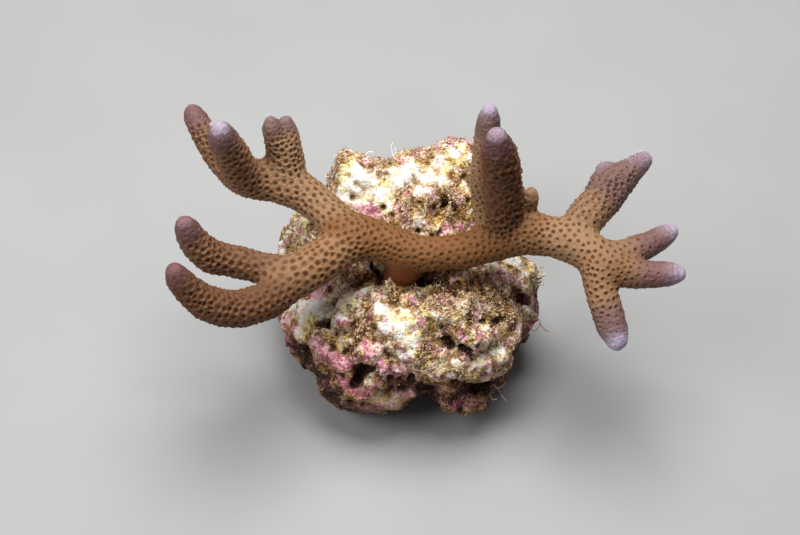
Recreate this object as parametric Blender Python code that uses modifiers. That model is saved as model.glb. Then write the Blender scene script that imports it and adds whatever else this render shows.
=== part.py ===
"""A branching montipora coral growing on a loose lump of reef rock.

Metres, +Z up. The origin is the middle of the flat cut on the rock's underside, so the rock
stands on z = 0. +X runs along the coral's longest spread and +Y away from the viewer.
The coral is split at its forks: every limb is a tapering round tube along a smooth route,
cut by the limb that it grows from, with a hairline gap between the two.
"""

import math

import bmesh
import bpy
from mathutils import Vector

MM = 0.001
JOINT_GAP = 0.3  # mm, between a limb and the piece that it grows from
RING_SPACING = 2.8  # mm, between the rings of a limb
TIP_RING_ANGLES = (28.0, 54.0, 76.0)  # degrees round the dome of a finger's tip
TUBE_BEVEL_RESOLUTION = 3  # ten-sided rings
WELD_MM = 0.01

# Routes in millimetres. A point is x, y, z and the limb's radius there. A route starts inside
# the piece that the limb grows from and ends at the centre of its rounded tip.
ROUTES = {
    "trunk": (
        (-13.5, -0.8, 40.0, 3.7),
        (-10.0, -0.5, 39.0, 4.3),
        (-5.0, -1.3, 38.0, 4.0),
        (0.5, -3.5, 38.0, 3.5),
        (6.0, -4.0, 38.0, 3.4),
        (11.5, -3.5, 38.5, 3.6),
        (17.0, -1.5, 39.0, 3.8),
        (22.0, -0.5, 40.0, 3.8),
        (25.0, -1.0, 40.3, 3.7),
    ),
    "holdfast": (
        (-0.8, -3.6, 29.6, 5.0),
        (-0.8, -3.6, 31.2, 4.4),
        (-0.8, -3.5, 33.0, 3.8),
        (-0.7, -3.4, 35.0, 3.3),
        (-0.6, -3.3, 37.5, 2.8),
    ),
    "left_back_limb": (
        (-11.5, -0.5, 39.5, 3.1),
        (-14.5, 2.0, 40.3, 3.6),
        (-17.5, 5.0, 41.0, 3.7),
        (-21.5, 8.3, 42.0, 3.9),
        (-26.3, 10.2, 43.0, 4.1),
        (-30.3, 10.2, 44.0, 4.0),
        (-32.6, 9.6, 45.0, 3.3),
    ),
    "back_near_finger": (
        (-31.5, 9.8, 44.5, 2.9),
        (-33.6, 8.6, 48.5, 3.4),
        (-35.2, 7.7, 55.0, 3.2),
        (-36.3, 6.8, 60.5, 2.7),
        (-36.5, 6.3, 62.8, 1.9),
    ),
    "back_far_finger": (
        (-31.8, 9.8, 44.3, 2.2),
        (-35.2, 10.8, 44.5, 2.8),
        (-38.5, 13.8, 46.0, 2.6),
        (-41.3, 17.1, 49.0, 2.5),
        (-43.4, 20.5, 51.2, 2.3),
        (-44.0, 21.7, 52.0, 1.6),
    ),
    "twin_tip_finger": (
        (-25.5, 10.0, 43.0, 2.9),
        (-25.2, 12.2, 46.0, 3.6),
        (-25.8, 13.2, 48.8, 3.0),
        (-26.8, 13.6, 52.3, 2.3),
        (-27.2, 14.3, 55.0, 2.0),
        (-27.4, 14.8, 56.2, 1.4),
    ),
    "left_front_limb": (
        (-10.5, -1.2, 39.0, 3.2),
        (-13.5, -3.2, 38.8, 3.9),
        (-17.0, -5.8, 38.5, 4.2),
        (-21.2, -8.8, 38.0, 4.3),
        (-25.0, -11.6, 38.0, 3.7),
    ),
    "front_upper_finger": (
        (-23.0, -10.4, 38.0, 2.9),
        (-26.0, -9.2, 38.4, 3.2),
        (-30.0, -8.4, 39.0, 3.1),
        (-35.0, -7.8, 40.3, 3.2),
        (-39.5, -7.9, 42.5, 3.3),
        (-42.2, -7.4, 46.0, 2.9),
        (-43.1, -7.1, 48.9, 2.5),
        (-43.4, -7.0, 50.6, 1.9),
    ),
    "front_lower_finger": (
        (-23.8, -11.6, 38.0, 3.0),
        (-26.8, -15.0, 38.3, 3.5),
        (-30.0, -17.4, 38.8, 3.6),
        (-34.5, -19.4, 40.2, 3.6),
        (-39.0, -20.0, 42.8, 3.4),
        (-42.0, -19.7, 46.2, 2.9),
        (-43.7, -19.5, 49.5, 2.5),
        (-44.2, -19.4, 51.6, 1.9),
    ),
    "centre_near_finger": (
        (18.5, -1.2, 39.5, 2.9),
        (18.7, 0.9, 44.0, 3.5),
        (18.2, 1.5, 51.0, 3.4),
        (17.4, 1.2, 58.0, 3.3),
        (16.5, 0.4, 64.5, 2.9),
        (16.2, 0.0, 67.8, 2.0),
    ),
    "centre_far_finger": (
        (16.5, -1.6, 39.5, 2.2),
        (15.0, 3.0, 44.5, 2.6),
        (14.5, 4.6, 52.0, 2.6),
        (14.7, 5.7, 58.0, 2.5),
        (14.9, 6.8, 64.0, 2.3),
        (15.1, 7.4, 66.8, 1.6),
    ),
    "centre_bud": (
        (21.8, -0.6, 40.0, 1.8),
        (23.1, 2.6, 43.0, 1.8),
        (23.8, 3.4, 46.5, 1.7),
        (23.9, 3.6, 47.4, 1.2),
    ),
    "right_limb": (
        (22.0, -0.5, 40.0, 3.6),
        (25.0, -1.0, 40.3, 3.6),
        (28.5, -2.0, 40.7, 3.8),
        (32.0, -3.6, 41.0, 3.9),
        (35.5, -6.2, 41.0, 3.7),
        (37.8, -8.4, 41.0, 3.0),
    ),
    "right_back_branch": (
        (31.5, -3.4, 41.0, 2.8),
        (33.6, -0.6, 42.0, 3.5),
        (36.0, 2.2, 43.3, 3.7),
        (39.2, 5.4, 45.0, 3.4),
        (42.4, 8.0, 47.0, 3.0),
        (45.3, 10.3, 48.0, 2.5),
        (46.3, 11.0, 48.3, 1.8),
    ),
    "right_outer_back_finger": (
        (36.3, -7.2, 41.0, 2.2),
        (39.5, -7.3, 41.2, 2.7),
        (42.5, -6.8, 41.5, 2.5),
        (46.4, -5.3, 42.0, 2.5),
        (49.9, -3.4, 42.5, 2.2),
        (51.4, -2.6, 42.9, 1.6),
    ),
    "right_outer_front_finger": (
        (36.8, -7.8, 41.0, 2.2),
        (39.5, -9.9, 41.2, 2.7),
        (43.0, -11.6, 41.5, 2.7),
        (47.1, -12.4, 42.0, 2.5),
        (50.3, -12.7, 42.5, 2.2),
        (51.9, -12.9, 42.8, 1.6),
    ),
    "right_front_finger": (
        (36.4, -7.8, 41.0, 2.5),
        (36.9, -11.2, 40.0, 3.1),
        (37.6, -14.6, 38.4, 3.0),
        (38.5, -17.6, 36.8, 3.0),
        (39.5, -20.2, 35.3, 2.8),
        (40.3, -22.5, 34.2, 2.0),
    ),
}

# Second shapes that are one with a finger: the other tip of the twin finger and a blunt stub.
SIDE_ROUTES = {
    "twin_tip_finger": (
        (-25.0, 12.0, 45.5, 2.9),
        (-24.8, 13.4, 48.0, 2.9),
        (-24.8, 14.6, 51.0, 2.5),
        (-25.0, 15.6, 53.2, 2.1),
        (-25.3, 16.1, 54.6, 1.4),
    ),
    "right_back_branch": (
        (38.6, 5.0, 44.8, 2.3),
        (38.9, 7.6, 45.9, 2.5),
        (38.7, 9.4, 46.5, 2.3),
        (38.5, 10.4, 46.8, 1.7),
    ),
}

# The ends that are cut square instead of rounded.
SQUARE_ENDED = ("trunk", "holdfast")

# What each limb is cut by: the piece that it grows from, and any sibling made before it.
GROWS_FROM = {
    "holdfast": ("trunk",),
    "left_back_limb": ("trunk",),
    "left_front_limb": ("trunk", "left_back_limb"),
    "back_near_finger": ("left_back_limb",),
    "back_far_finger": ("left_back_limb", "back_near_finger"),
    "twin_tip_finger": ("left_back_limb",),
    "front_upper_finger": ("left_front_limb",),
    "front_lower_finger": ("left_front_limb", "front_upper_finger"),
    "centre_near_finger": ("trunk",),
    "centre_far_finger": ("trunk", "centre_near_finger"),
    "centre_bud": ("trunk", "centre_near_finger"),
    "right_limb": ("trunk", "centre_near_finger", "centre_bud"),
    "right_back_branch": ("right_limb",),
    "right_outer_back_finger": ("right_limb", "right_back_branch"),
    "right_outer_front_finger": ("right_limb", "right_outer_back_finger"),
    "right_front_finger": ("right_limb", "right_outer_front_finger", "right_outer_back_finger"),
}

# The rock is a clump of lobes. A lobe is its centre x, y, z and its half sizes, in millimetres.
ROCK_LOBES = (
    (1.0, 4.0, 15.0, 20.8, 18.0, 15.0),  # the middle
    (0.0, 2.0, 5.0, 21.0, 17.0, 9.0),  # the foot
    (-1.0, 15.0, 22.5, 19.0, 17.0, 15.5),  # the back lobe
    (10.5, 22.0, 27.5, 8.5, 10.5, 11.5),  # its right shoulder
    (-10.5, 20.5, 25.5, 8.5, 10.5, 11.5),  # its left shoulder
    (-20.0, 11.0, 16.3, 8.5, 10.0, 12.0),  # the left cheek
    (4.0, -7.0, 16.0, 20.5, 15.0, 16.0),  # the front lobe
    (-15.5, -2.0, 11.0, 11.5, 10.0, 10.5),  # its left corner
    (18.5, 3.6, 13.2, 9.5, 12.0, 12.0),  # the right cheek
    (-8.0, -14.0, 7.5, 10.0, 8.0, 9.0),  # the front toes
    (11.0, -12.0, 7.5, 8.0, 8.0, 9.0),
)
ROCK_VOXEL = 2.8  # mm, the size of the rock's facets
ROCK_ROUGHNESS = 2.4  # mm, how far the lumps stand out
ROCK_LUMP_SIZE = 9.0  # mm
ROCK_CUT_BY = ("holdfast", "trunk", "left_back_limb", "left_front_limb")
FLOOR_CUTTER_SIZE = 120.0  # mm

# Base colour and roughness of each finish.
CORAL_FINISH = ((0.33, 0.17, 0.065, 1.0), 0.55)
HOLDFAST_FINISH = ((0.36, 0.16, 0.06, 1.0), 0.5)
ROCK_FINISH = ((0.56, 0.45, 0.33, 1.0), 0.9)


def clear_scene():
    for obj in list(bpy.data.objects):
        bpy.data.objects.remove(obj)


def make_collection(name):
    collection = bpy.data.collections.new(name)
    bpy.context.scene.collection.children.link(collection)
    return collection


def make_material(name, finish):
    colour, roughness = finish
    material = bpy.data.materials.new(name)
    material.use_nodes = True
    shader = material.node_tree.nodes["Principled BSDF"]
    shader.inputs["Base Color"].default_value = colour
    shader.inputs["Roughness"].default_value = roughness
    shader.inputs["Metallic"].default_value = 0.0
    return material


def smooth_point(before, start, end, after, share):
    """The Catmull-Rom curve's point between start and end, for four numbers each."""
    point = []
    for a, b, c, d in zip(before, start, end, after):
        slope = c - a
        bend = 2 * a - 5 * b + 4 * c - d
        twist = 3 * (b - c) + d - a
        point.append(b + 0.5 * share * (slope + share * (bend + share * twist)))
    return point


def smooth_route(points):
    """Evenly read points of the smooth curve through the route, as (place, radius) in mm."""
    padded = [points[0], *points, points[-1]]
    route = []
    for before, start, end, after in zip(padded, padded[1:], padded[2:], padded[3:]):
        span = (Vector(end[:3]) - Vector(start[:3])).length
        steps = max(1, round(span / RING_SPACING))
        for step in range(steps):
            x, y, z, radius = smooth_point(before, start, end, after, step / steps)
            route.append((Vector((x, y, z)), radius))
    x, y, z, radius = points[-1]
    route.append((Vector((x, y, z)), radius))
    return route


def finish_end(route, square, growth):
    """Adds the dome of a rounded tip, or the short run past a square end of a fattened limb."""
    place, radius = route[-1]
    along = (place - route[-2][0]).normalized()
    if square:
        return route + ([(place + along * growth, radius)] if growth else [])
    dome = []
    for angle in TIP_RING_ANGLES:
        turn = math.radians(angle)
        dome.append((place + along * (radius + growth) * math.sin(turn), radius, math.cos(turn)))
    grown = radius + growth
    return route + [(where, grown * shrink - growth) for where, _, shrink in dome]


def tube_mesh(name, points, square, growth=0.0):
    """The closed mesh of a limb: a bevelled curve along the route, its caps welded on."""
    route = finish_end(smooth_route(points), square, growth)
    curve = bpy.data.curves.new(name + "_route", "CURVE")
    curve.dimensions = "3D"
    curve.bevel_depth = MM
    curve.bevel_resolution = TUBE_BEVEL_RESOLUTION
    curve.use_fill_caps = True
    spline = curve.splines.new("POLY")
    spline.points.add(len(route) - 1)
    for point, (place, radius) in zip(spline.points, route):
        point.co = (*(place * MM), 1.0)
        point.radius = radius + growth
    guide = bpy.data.objects.new(name + "_guide", curve)
    bpy.context.scene.collection.objects.link(guide)
    graph = bpy.context.evaluated_depsgraph_get()
    mesh = bpy.data.meshes.new_from_object(guide.evaluated_get(graph))
    bpy.data.objects.remove(guide)
    bpy.data.curves.remove(curve)
    cage = bmesh.new()
    cage.from_mesh(mesh)
    bmesh.ops.remove_doubles(cage, verts=cage.verts, dist=WELD_MM * MM)
    bmesh.ops.recalc_face_normals(cage, faces=cage.faces)
    cage.to_mesh(mesh)
    cage.free()
    return mesh


def add_object(name, mesh, collection):
    obj = bpy.data.objects.new(name, mesh)
    collection.objects.link(obj)
    return obj


def make_helper(name, mesh, collection):
    """A shape that only cuts or joins: it is hidden from renders and drawn as wire."""
    helper = add_object(name, mesh, collection)
    helper.hide_render = True
    helper.display_type = "WIRE"
    return helper


def add_boolean(obj, helper, operation):
    modifier = obj.modifiers.new(helper.name, "BOOLEAN")
    modifier.operation = operation
    modifier.solver = "EXACT"
    modifier.object = helper


def make_cutter(name, collection):
    """The limb fattened by the joint gap, which leaves that gap in whatever it cuts."""
    mesh = tube_mesh(name, ROUTES[name], name in SQUARE_ENDED, JOINT_GAP)
    return make_helper(name + "_cutter", mesh, collection)


def make_limb(name, material, collection, helpers):
    mesh = tube_mesh(name, ROUTES[name], name in SQUARE_ENDED)
    mesh.materials.append(material)
    limb = add_object(name, mesh, collection)
    if name in SIDE_ROUTES:
        side = tube_mesh(name + "_side", SIDE_ROUTES[name], False)
        add_boolean(limb, make_helper(name + "_side", side, helpers), "UNION")
    return limb


def make_rock(material, collection):
    """Lobes grown together by a voxel remesh, roughened, and standing on their cut at z = 0."""
    cage = bmesh.new()
    for x, y, z, half_x, half_y, half_z in ROCK_LOBES:
        ball = bmesh.ops.create_icosphere(cage, subdivisions=3, radius=1.0)
        bmesh.ops.scale(cage, vec=Vector((half_x, half_y, half_z)) * MM, verts=ball["verts"])
        bmesh.ops.translate(cage, vec=Vector((x, y, z)) * MM, verts=ball["verts"])
    mesh = bpy.data.meshes.new("rock")
    cage.to_mesh(mesh)
    cage.free()
    mesh.materials.append(material)
    rock = add_object("rock", mesh, collection)
    remesh = rock.modifiers.new("grown_together", "REMESH")
    remesh.mode = "VOXEL"
    remesh.voxel_size = ROCK_VOXEL * MM
    lumps = bpy.data.textures.new("rock_lumps", "CLOUDS")
    lumps.noise_scale = ROCK_LUMP_SIZE * MM
    roughen = rock.modifiers.new("lumps", "DISPLACE")
    roughen.texture = lumps
    roughen.texture_coords = "LOCAL"
    roughen.strength = ROCK_ROUGHNESS * MM
    roughen.mid_level = 0.5
    return rock


def make_floor_cutter(collection):
    cage = bmesh.new()
    bmesh.ops.create_cube(cage, size=FLOOR_CUTTER_SIZE * MM)
    bmesh.ops.translate(cage, vec=(0, 0, -0.5 * FLOOR_CUTTER_SIZE * MM), verts=cage.verts)
    mesh = bpy.data.meshes.new("floor_cutter")
    cage.to_mesh(mesh)
    cage.free()
    return make_helper("floor_cutter", mesh, collection)


def main():
    clear_scene()
    coral = make_collection("montipora_coral")
    helpers = make_collection("helpers")
    tissue = make_material("coral_tissue", CORAL_FINISH)
    crust = make_material("holdfast_tissue", HOLDFAST_FINISH)
    stone = make_material("reef_rock", ROCK_FINISH)
    parents = {parent for cut in GROWS_FROM.values() for parent in cut} | set(ROCK_CUT_BY)
    cutters = {name: make_cutter(name, helpers) for name in ROUTES if name in parents}
    for name in ROUTES:
        limb = make_limb(name, crust if name == "holdfast" else tissue, coral, helpers)
        for parent in GROWS_FROM.get(name, ()):
            add_boolean(limb, cutters[parent], "DIFFERENCE")
    rock = make_rock(stone, coral)
    add_boolean(rock, make_floor_cutter(helpers), "DIFFERENCE")
    for name in ROCK_CUT_BY:
        add_boolean(rock, cutters[name], "DIFFERENCE")


main()
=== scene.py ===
"""Looks of a branching montipora coral that grows on a loose lump of reef rock.

The colony's skin is one implicit surface, the limbs' routes swept by their radii and blended at
the forks. It is meshed once, given its pores, and split at the forks into one piece for each
limb. The rock is a second implicit surface with lumps, holes and crusts. Lengths are
millimetres until a mesh is made.
"""

import math
from collections import namedtuple

import bpy
import numpy as np
from bpy.props import FloatProperty, FloatVectorProperty, IntProperty, PointerProperty
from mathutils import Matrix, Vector


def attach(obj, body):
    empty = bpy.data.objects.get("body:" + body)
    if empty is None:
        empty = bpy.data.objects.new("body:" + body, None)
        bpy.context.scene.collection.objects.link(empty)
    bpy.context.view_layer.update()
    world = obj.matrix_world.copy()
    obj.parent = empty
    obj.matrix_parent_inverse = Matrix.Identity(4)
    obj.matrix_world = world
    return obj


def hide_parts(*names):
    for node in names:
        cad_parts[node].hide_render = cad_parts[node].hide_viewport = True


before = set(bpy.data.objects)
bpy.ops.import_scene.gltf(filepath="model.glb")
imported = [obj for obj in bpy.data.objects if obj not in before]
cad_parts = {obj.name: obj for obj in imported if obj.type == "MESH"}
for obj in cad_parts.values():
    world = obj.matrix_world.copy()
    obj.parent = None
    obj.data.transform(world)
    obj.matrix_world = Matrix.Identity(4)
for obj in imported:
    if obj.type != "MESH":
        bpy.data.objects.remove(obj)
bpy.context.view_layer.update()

bl_info = {
    "name": "Branching Montipora Coral",
    "version": (1, 0, 0),
    "blender": (4, 5, 0),
    "location": "3D View > Sidebar > Coral",
    "description": "A pored branching coral on its lump of reef rock",
    "category": "Add Mesh",
}

MM = 0.001

# The limbs' routes, in millimetres. A point is x, y, z and the limb's radius there. A route starts
# inside the piece that the limb grows from and ends at the middle of its round tip.
ROUTES = {
    "trunk": (
        (-13.5, -0.8, 40.0, 3.7),
        (-10.0, -0.5, 39.0, 4.3),
        (-5.0, -1.3, 38.0, 4.0),
        (0.5, -3.5, 38.0, 3.5),
        (6.0, -4.0, 38.0, 3.4),
        (11.5, -3.5, 38.5, 3.6),
        (17.0, -1.5, 39.0, 3.8),
        (22.0, -0.5, 40.0, 3.8),
        (25.0, -1.0, 40.3, 3.7),
    ),
    "holdfast": (
        (-1.7, -3.6, 29.6, 3.8),
        (-1.6, -3.6, 31.2, 3.2),
        (-1.3, -3.6, 32.6, 3.3),
        (-0.6, -3.7, 34.0, 3.7),
        (-0.2, -3.6, 35.4, 3.4),
    ),
    "left_back_limb": (
        (-11.5, -0.5, 39.5, 3.1),
        (-14.5, 2.0, 40.3, 3.6),
        (-17.5, 5.0, 41.0, 3.7),
        (-21.5, 8.3, 42.0, 3.9),
        (-26.3, 10.2, 43.0, 4.1),
        (-30.3, 10.2, 44.0, 4.0),
        (-32.6, 9.6, 45.0, 3.3),
    ),
    "back_near_finger": (
        (-31.5, 9.8, 44.5, 2.9),
        (-33.6, 8.6, 48.5, 3.4),
        (-35.2, 7.7, 55.0, 3.2),
        (-36.3, 6.8, 60.5, 2.7),
        (-36.5, 6.3, 62.8, 1.9),
    ),
    "back_far_finger": (
        (-31.8, 9.8, 44.3, 2.2),
        (-35.2, 10.8, 44.5, 2.8),
        (-38.5, 13.8, 46.0, 2.6),
        (-41.3, 17.1, 49.0, 2.5),
        (-43.4, 20.5, 51.2, 2.3),
        (-44.0, 21.7, 52.0, 1.6),
    ),
    "twin_tip_finger": (
        (-25.5, 10.0, 43.0, 2.9),
        (-25.2, 12.2, 46.0, 3.6),
        (-25.8, 13.2, 48.8, 3.0),
        (-27.0, 13.6, 52.3, 2.1),
        (-27.5, 14.3, 55.0, 1.8),
        (-27.7, 14.8, 56.2, 1.3),
    ),
    "left_front_limb": (
        (-10.5, -1.2, 39.0, 3.2),
        (-13.5, -3.2, 38.8, 3.9),
        (-17.0, -5.8, 38.5, 4.2),
        (-21.2, -8.8, 38.0, 4.3),
        (-25.0, -11.6, 38.0, 3.7),
    ),
    "front_upper_finger": (
        (-23.0, -10.4, 38.0, 2.9),
        (-26.0, -9.2, 38.4, 3.2),
        (-30.0, -8.4, 39.0, 3.1),
        (-35.0, -7.8, 40.3, 3.2),
        (-39.5, -7.9, 42.5, 3.3),
        (-42.2, -7.4, 46.0, 2.9),
        (-43.1, -7.1, 48.9, 2.5),
        (-43.4, -7.0, 50.6, 1.9),
    ),
    "front_lower_finger": (
        (-23.8, -11.6, 38.0, 3.0),
        (-26.8, -15.0, 38.3, 3.5),
        (-30.0, -17.4, 38.8, 3.6),
        (-34.5, -19.4, 40.2, 3.6),
        (-39.0, -20.0, 42.8, 3.4),
        (-42.0, -19.7, 46.2, 2.9),
        (-43.7, -19.5, 49.5, 2.5),
        (-44.2, -19.4, 51.6, 1.9),
    ),
    "centre_near_finger": (
        (18.5, -1.2, 39.5, 2.9),
        (18.7, 0.9, 44.0, 3.5),
        (18.2, 1.5, 51.0, 3.4),
        (17.4, 1.2, 58.0, 3.3),
        (16.5, 0.4, 64.5, 2.9),
        (16.2, 0.0, 67.8, 2.0),
    ),
    "centre_far_finger": (
        (16.5, -1.6, 39.5, 2.2),
        (15.0, 3.0, 44.5, 2.6),
        (14.5, 4.6, 52.0, 2.6),
        (14.7, 5.7, 58.0, 2.5),
        (14.9, 6.8, 64.0, 2.3),
        (15.1, 7.4, 66.8, 1.6),
    ),
    "centre_bud": (
        (21.8, -0.6, 40.0, 1.8),
        (23.1, 2.6, 43.0, 1.8),
        (23.8, 3.4, 46.5, 1.7),
        (23.9, 3.6, 47.4, 1.2),
    ),
    "right_limb": (
        (22.0, -0.5, 40.0, 3.6),
        (25.0, -1.0, 40.3, 3.6),
        (28.5, -2.0, 40.7, 3.8),
        (32.0, -3.6, 41.0, 3.9),
        (35.5, -6.2, 41.0, 3.7),
        (37.8, -8.4, 41.0, 3.0),
    ),
    "right_back_branch": (
        (31.5, -3.4, 41.0, 2.8),
        (33.6, -0.6, 42.0, 3.5),
        (36.0, 2.2, 43.3, 3.7),
        (39.2, 5.4, 45.0, 3.4),
        (42.4, 8.0, 47.0, 3.0),
        (45.3, 10.3, 48.0, 2.4),
        (46.7, 11.3, 48.5, 1.8),
    ),
    "right_outer_back_finger": (
        (36.3, -7.2, 41.0, 2.2),
        (39.5, -7.3, 41.2, 2.8),
        (42.5, -6.8, 41.5, 2.7),
        (46.4, -5.3, 42.0, 2.7),
        (49.9, -3.4, 42.5, 2.3),
        (51.4, -2.6, 42.9, 1.6),
    ),
    "right_outer_front_finger": (
        (36.8, -7.8, 41.0, 2.2),
        (39.5, -9.9, 41.2, 2.9),
        (43.0, -11.6, 41.5, 2.9),
        (47.1, -12.4, 42.0, 2.7),
        (50.3, -12.7, 42.5, 2.3),
        (51.9, -12.9, 42.8, 1.6),
    ),
    "right_front_finger": (
        (36.4, -7.8, 41.0, 2.5),
        (36.9, -11.2, 40.0, 3.1),
        (37.6, -14.6, 38.4, 3.1),
        (38.5, -17.6, 36.8, 3.1),
        (39.5, -20.2, 35.3, 2.9),
        (40.3, -22.5, 34.2, 2.0),
    ),
}

# Second shapes that are one with a finger: the twin finger's other tip and a blunt stub.
SIDE_ROUTES = {
    "twin_tip_finger": ((
        (-25.0, 12.0, 45.5, 2.9),
        (-24.6, 13.4, 48.0, 2.8),
        (-24.3, 14.6, 51.0, 2.3),
        (-24.4, 15.6, 53.2, 1.9),
        (-24.6, 16.1, 54.6, 1.3),
    ),),
    "right_back_branch": (
        (
            (38.6, 5.0, 44.8, 2.4),
            (38.4, 7.4, 45.7, 2.4),
            (38.7, 9.3, 46.5, 1.8),
            (38.5, 10.4, 47.0, 1.2),
            (38.4, 11.1, 47.2, 0.7),
        ),
        (
            (39.6, 5.0, 44.8, 2.4),
            (39.9, 7.4, 45.7, 2.4),
            (40.1, 9.2, 46.4, 1.9),
            (40.0, 10.2, 46.9, 1.4),
            (40.0, 10.9, 47.2, 0.8),
        ),
    ),
}

# Each limb's pores: their pitch and width in millimetres, how far the tissue is a comb of bowls
# from 0 to 1, the height of a pore's lower lip in millimetres, how far the tip pales from 0 to 1
# and over how many millimetres, how warm, how far darkened to brown and how ashen the tissue is
# from 0 to 1, over how many millimetres the pores fade in from the tip, and how many forks lie
# between it and the trunk. The darkening to brown is partly painted shade on the fingers' sides
# away from the light, and the holdfast's full warmth brings its colour darkened by the trunk's
# painted shadow.
Habit = namedtuple("Habit", "pitch width comb lip pale reach warm rosy ashen bare forks")
HABITS = {
    "trunk": Habit(1.42, 0.80, 0.35, 0.10, 0.0, 1.0, 0.58, 0.0, 0.0, 4.0, 0),
    "holdfast": Habit(1.50, 0.0, 0.0, 0.0, 0.0, 1.0, 1.0, 0.0, 0.0, 4.0, 1),
    "left_back_limb": Habit(1.58, 0.94, 0.6, 0.14, 0.0, 1.0, 0.2, 0.04, 0.9, 4.0, 1),
    "back_near_finger": Habit(1.60, 0.94, 0.7, 0.3, 1.0, 9.0, 0.1, 0.5, 0.6, 8.0, 2),
    "back_far_finger": Habit(1.60, 0.90, 0.7, 0.26, 0.85, 9.0, 0.1, 0.6, 1.0, 6.0, 2),
    "twin_tip_finger": Habit(1.50, 0.86, 0.5, 0.22, 0.75, 6.0, 0.1, 0.0, 1.0, 6.0, 2),
    "left_front_limb": Habit(1.78, 1.14, 0.7, 0.14, 0.0, 1.0, 0.15, 0.14, 0.1, 4.0, 1),
    "front_upper_finger": Habit(1.66, 1.02, 0.8, 0.24, 0.8, 8.0, 0.1, 0.7, 0.6, 7.5, 2),
    "front_lower_finger": Habit(1.66, 1.02, 0.8, 0.24, 0.62, 6.0, 0.1, 0.85, 0.4, 7.5, 2),
    "centre_near_finger": Habit(1.70, 0.96, 0.25, 0.62, 0.94, 8.5, 0.1, 0.98, 0.0, 9.0, 1),
    "centre_far_finger": Habit(1.60, 0.62, 0.2, 0.28, 1.0, 10.0, 0.0, 0.0, 1.0, 9.0, 1),
    "centre_bud": Habit(1.65, 0.60, 0.3, 0.10, 0.2, 3.0, 0.1, 0.0, 0.5, 4.0, 1),
    "right_limb": Habit(1.70, 0.78, 0.25, 0.12, 0.0, 1.0, 0.1, 0.12, 0.7, 4.0, 1),
    "right_back_branch": Habit(1.66, 0.74, 0.35, 0.28, 0.95, 19.0, 0.0, 0.25, 0.8, 7.0, 2),
    "right_outer_back_finger": Habit(1.62, 0.66, 0.15, 0.16, 1.04, 14.0, 0.0, 0.5, 1.0, 9.5, 2),
    "right_outer_front_finger": Habit(1.62, 0.66, 0.15, 0.16, 1.06, 13.0, 0.0, 0.5, 0.3, 9.5, 2),
    "right_front_finger": Habit(1.66, 0.74, 0.2, 0.18, 1.15, 13.0, 0.05, 0.26, 0.4, 9.0, 2),
}
# Where the width, the bare tip and the forks stand in a habit. The skin blends what is before the
# forks.
WIDTH, BARE, HABIT_SIZE = (Habit._fields.index(name) for name in ("width", "bare", "forks"))

# The rock is a clump of lobes. A lobe is its centre x, y, z and its half sizes, in millimetres.
ROCK_LOBES = np.array((
    (1.0, 4.0, 15.0, 20.8, 18.0, 15.0),
    (0.0, 2.0, 5.0, 21.0, 17.0, 9.0),
    (-1.0, 15.0, 22.5, 19.0, 17.0, 15.5),
    (10.5, 22.0, 27.5, 8.5, 10.5, 11.5),
    (-10.5, 20.5, 25.5, 8.5, 10.5, 11.5),
    (-20.5, 11.0, 16.3, 9.6, 10.4, 12.4),
    (4.0, -7.0, 16.0, 20.5, 15.0, 16.0),
    (-15.5, -3.0, 10.5, 12.5, 11.5, 11.0),
    (18.5, 3.6, 13.2, 9.5, 12.0, 12.0),
    (-8.0, -14.0, 7.5, 10.0, 8.0, 9.0),
    (11.0, -12.0, 7.5, 8.0, 8.0, 9.0),
))
ROCK_BLEND = 2.2  # mm, how softly the lobes grow together
OUTLINE_BLEND = 1.2  # mm, how softly they are cut to the outline
# Size and height in millimetres of each scale of the rock's lumps.
ROCK_LUMPS = ((10.0, 2.6), (5.0, 1.7), (2.6, 1.0), (1.4, 0.5))

# The photograph's camera.
IMAGE_WIDTH = 800
IMAGE_HEIGHT = 535
CAMERA_ELEVATION = math.radians(52.0)
CAMERA_DISTANCE = 340.0  # mm
CAMERA_TARGET = np.array((-2.0, -6.0, 36.0))
CAMERA_FOCAL_PIXELS = 1700.0
PIXELS_PER_MM = CAMERA_FOCAL_PIXELS / CAMERA_DISTANCE  # at the target
SENSOR_WIDTH = 36.0  # mm
PICTURE_MIDDLE = (IMAGE_WIDTH / 2, IMAGE_HEIGHT / 2)
# The direction that points up in the photograph.
PICTURE_UP = np.array((0.0, math.sin(CAMERA_ELEVATION), math.cos(CAMERA_ELEVATION)))

# The rock's outline in the photograph, in pixels. Where the coral hides it, it is a guess.
ROCK_OUTLINE = (
    (273, 319), (283, 328), (286, 345), (297, 361), (310, 372), (318, 389), (334, 403), (351, 412),
    (361, 418), (372, 415), (395, 414), (409, 403), (417, 397), (430, 395), (440, 401), (445, 410),
    (460, 408), (470, 412), (477, 409), (481, 400), (486, 395), (494, 388), (503, 381), (506, 370),
    (511, 358), (516, 347), (524, 338), (529, 328), (541, 317), (543, 308), (540, 295), (540, 284),
    (535, 268), (522, 251), (505, 215), (482, 165), (470, 143), (464, 138), (454, 137), (444, 142),
    (436, 148), (412, 153), (400, 157), (385, 159), (370, 158), (350, 152), (335, 156), (328, 168),
    (322, 190), (296, 206), (280, 222), (275, 240), (272, 290),
)
ROCK_MIDDLE = np.array((405.0, 290.0))
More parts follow.
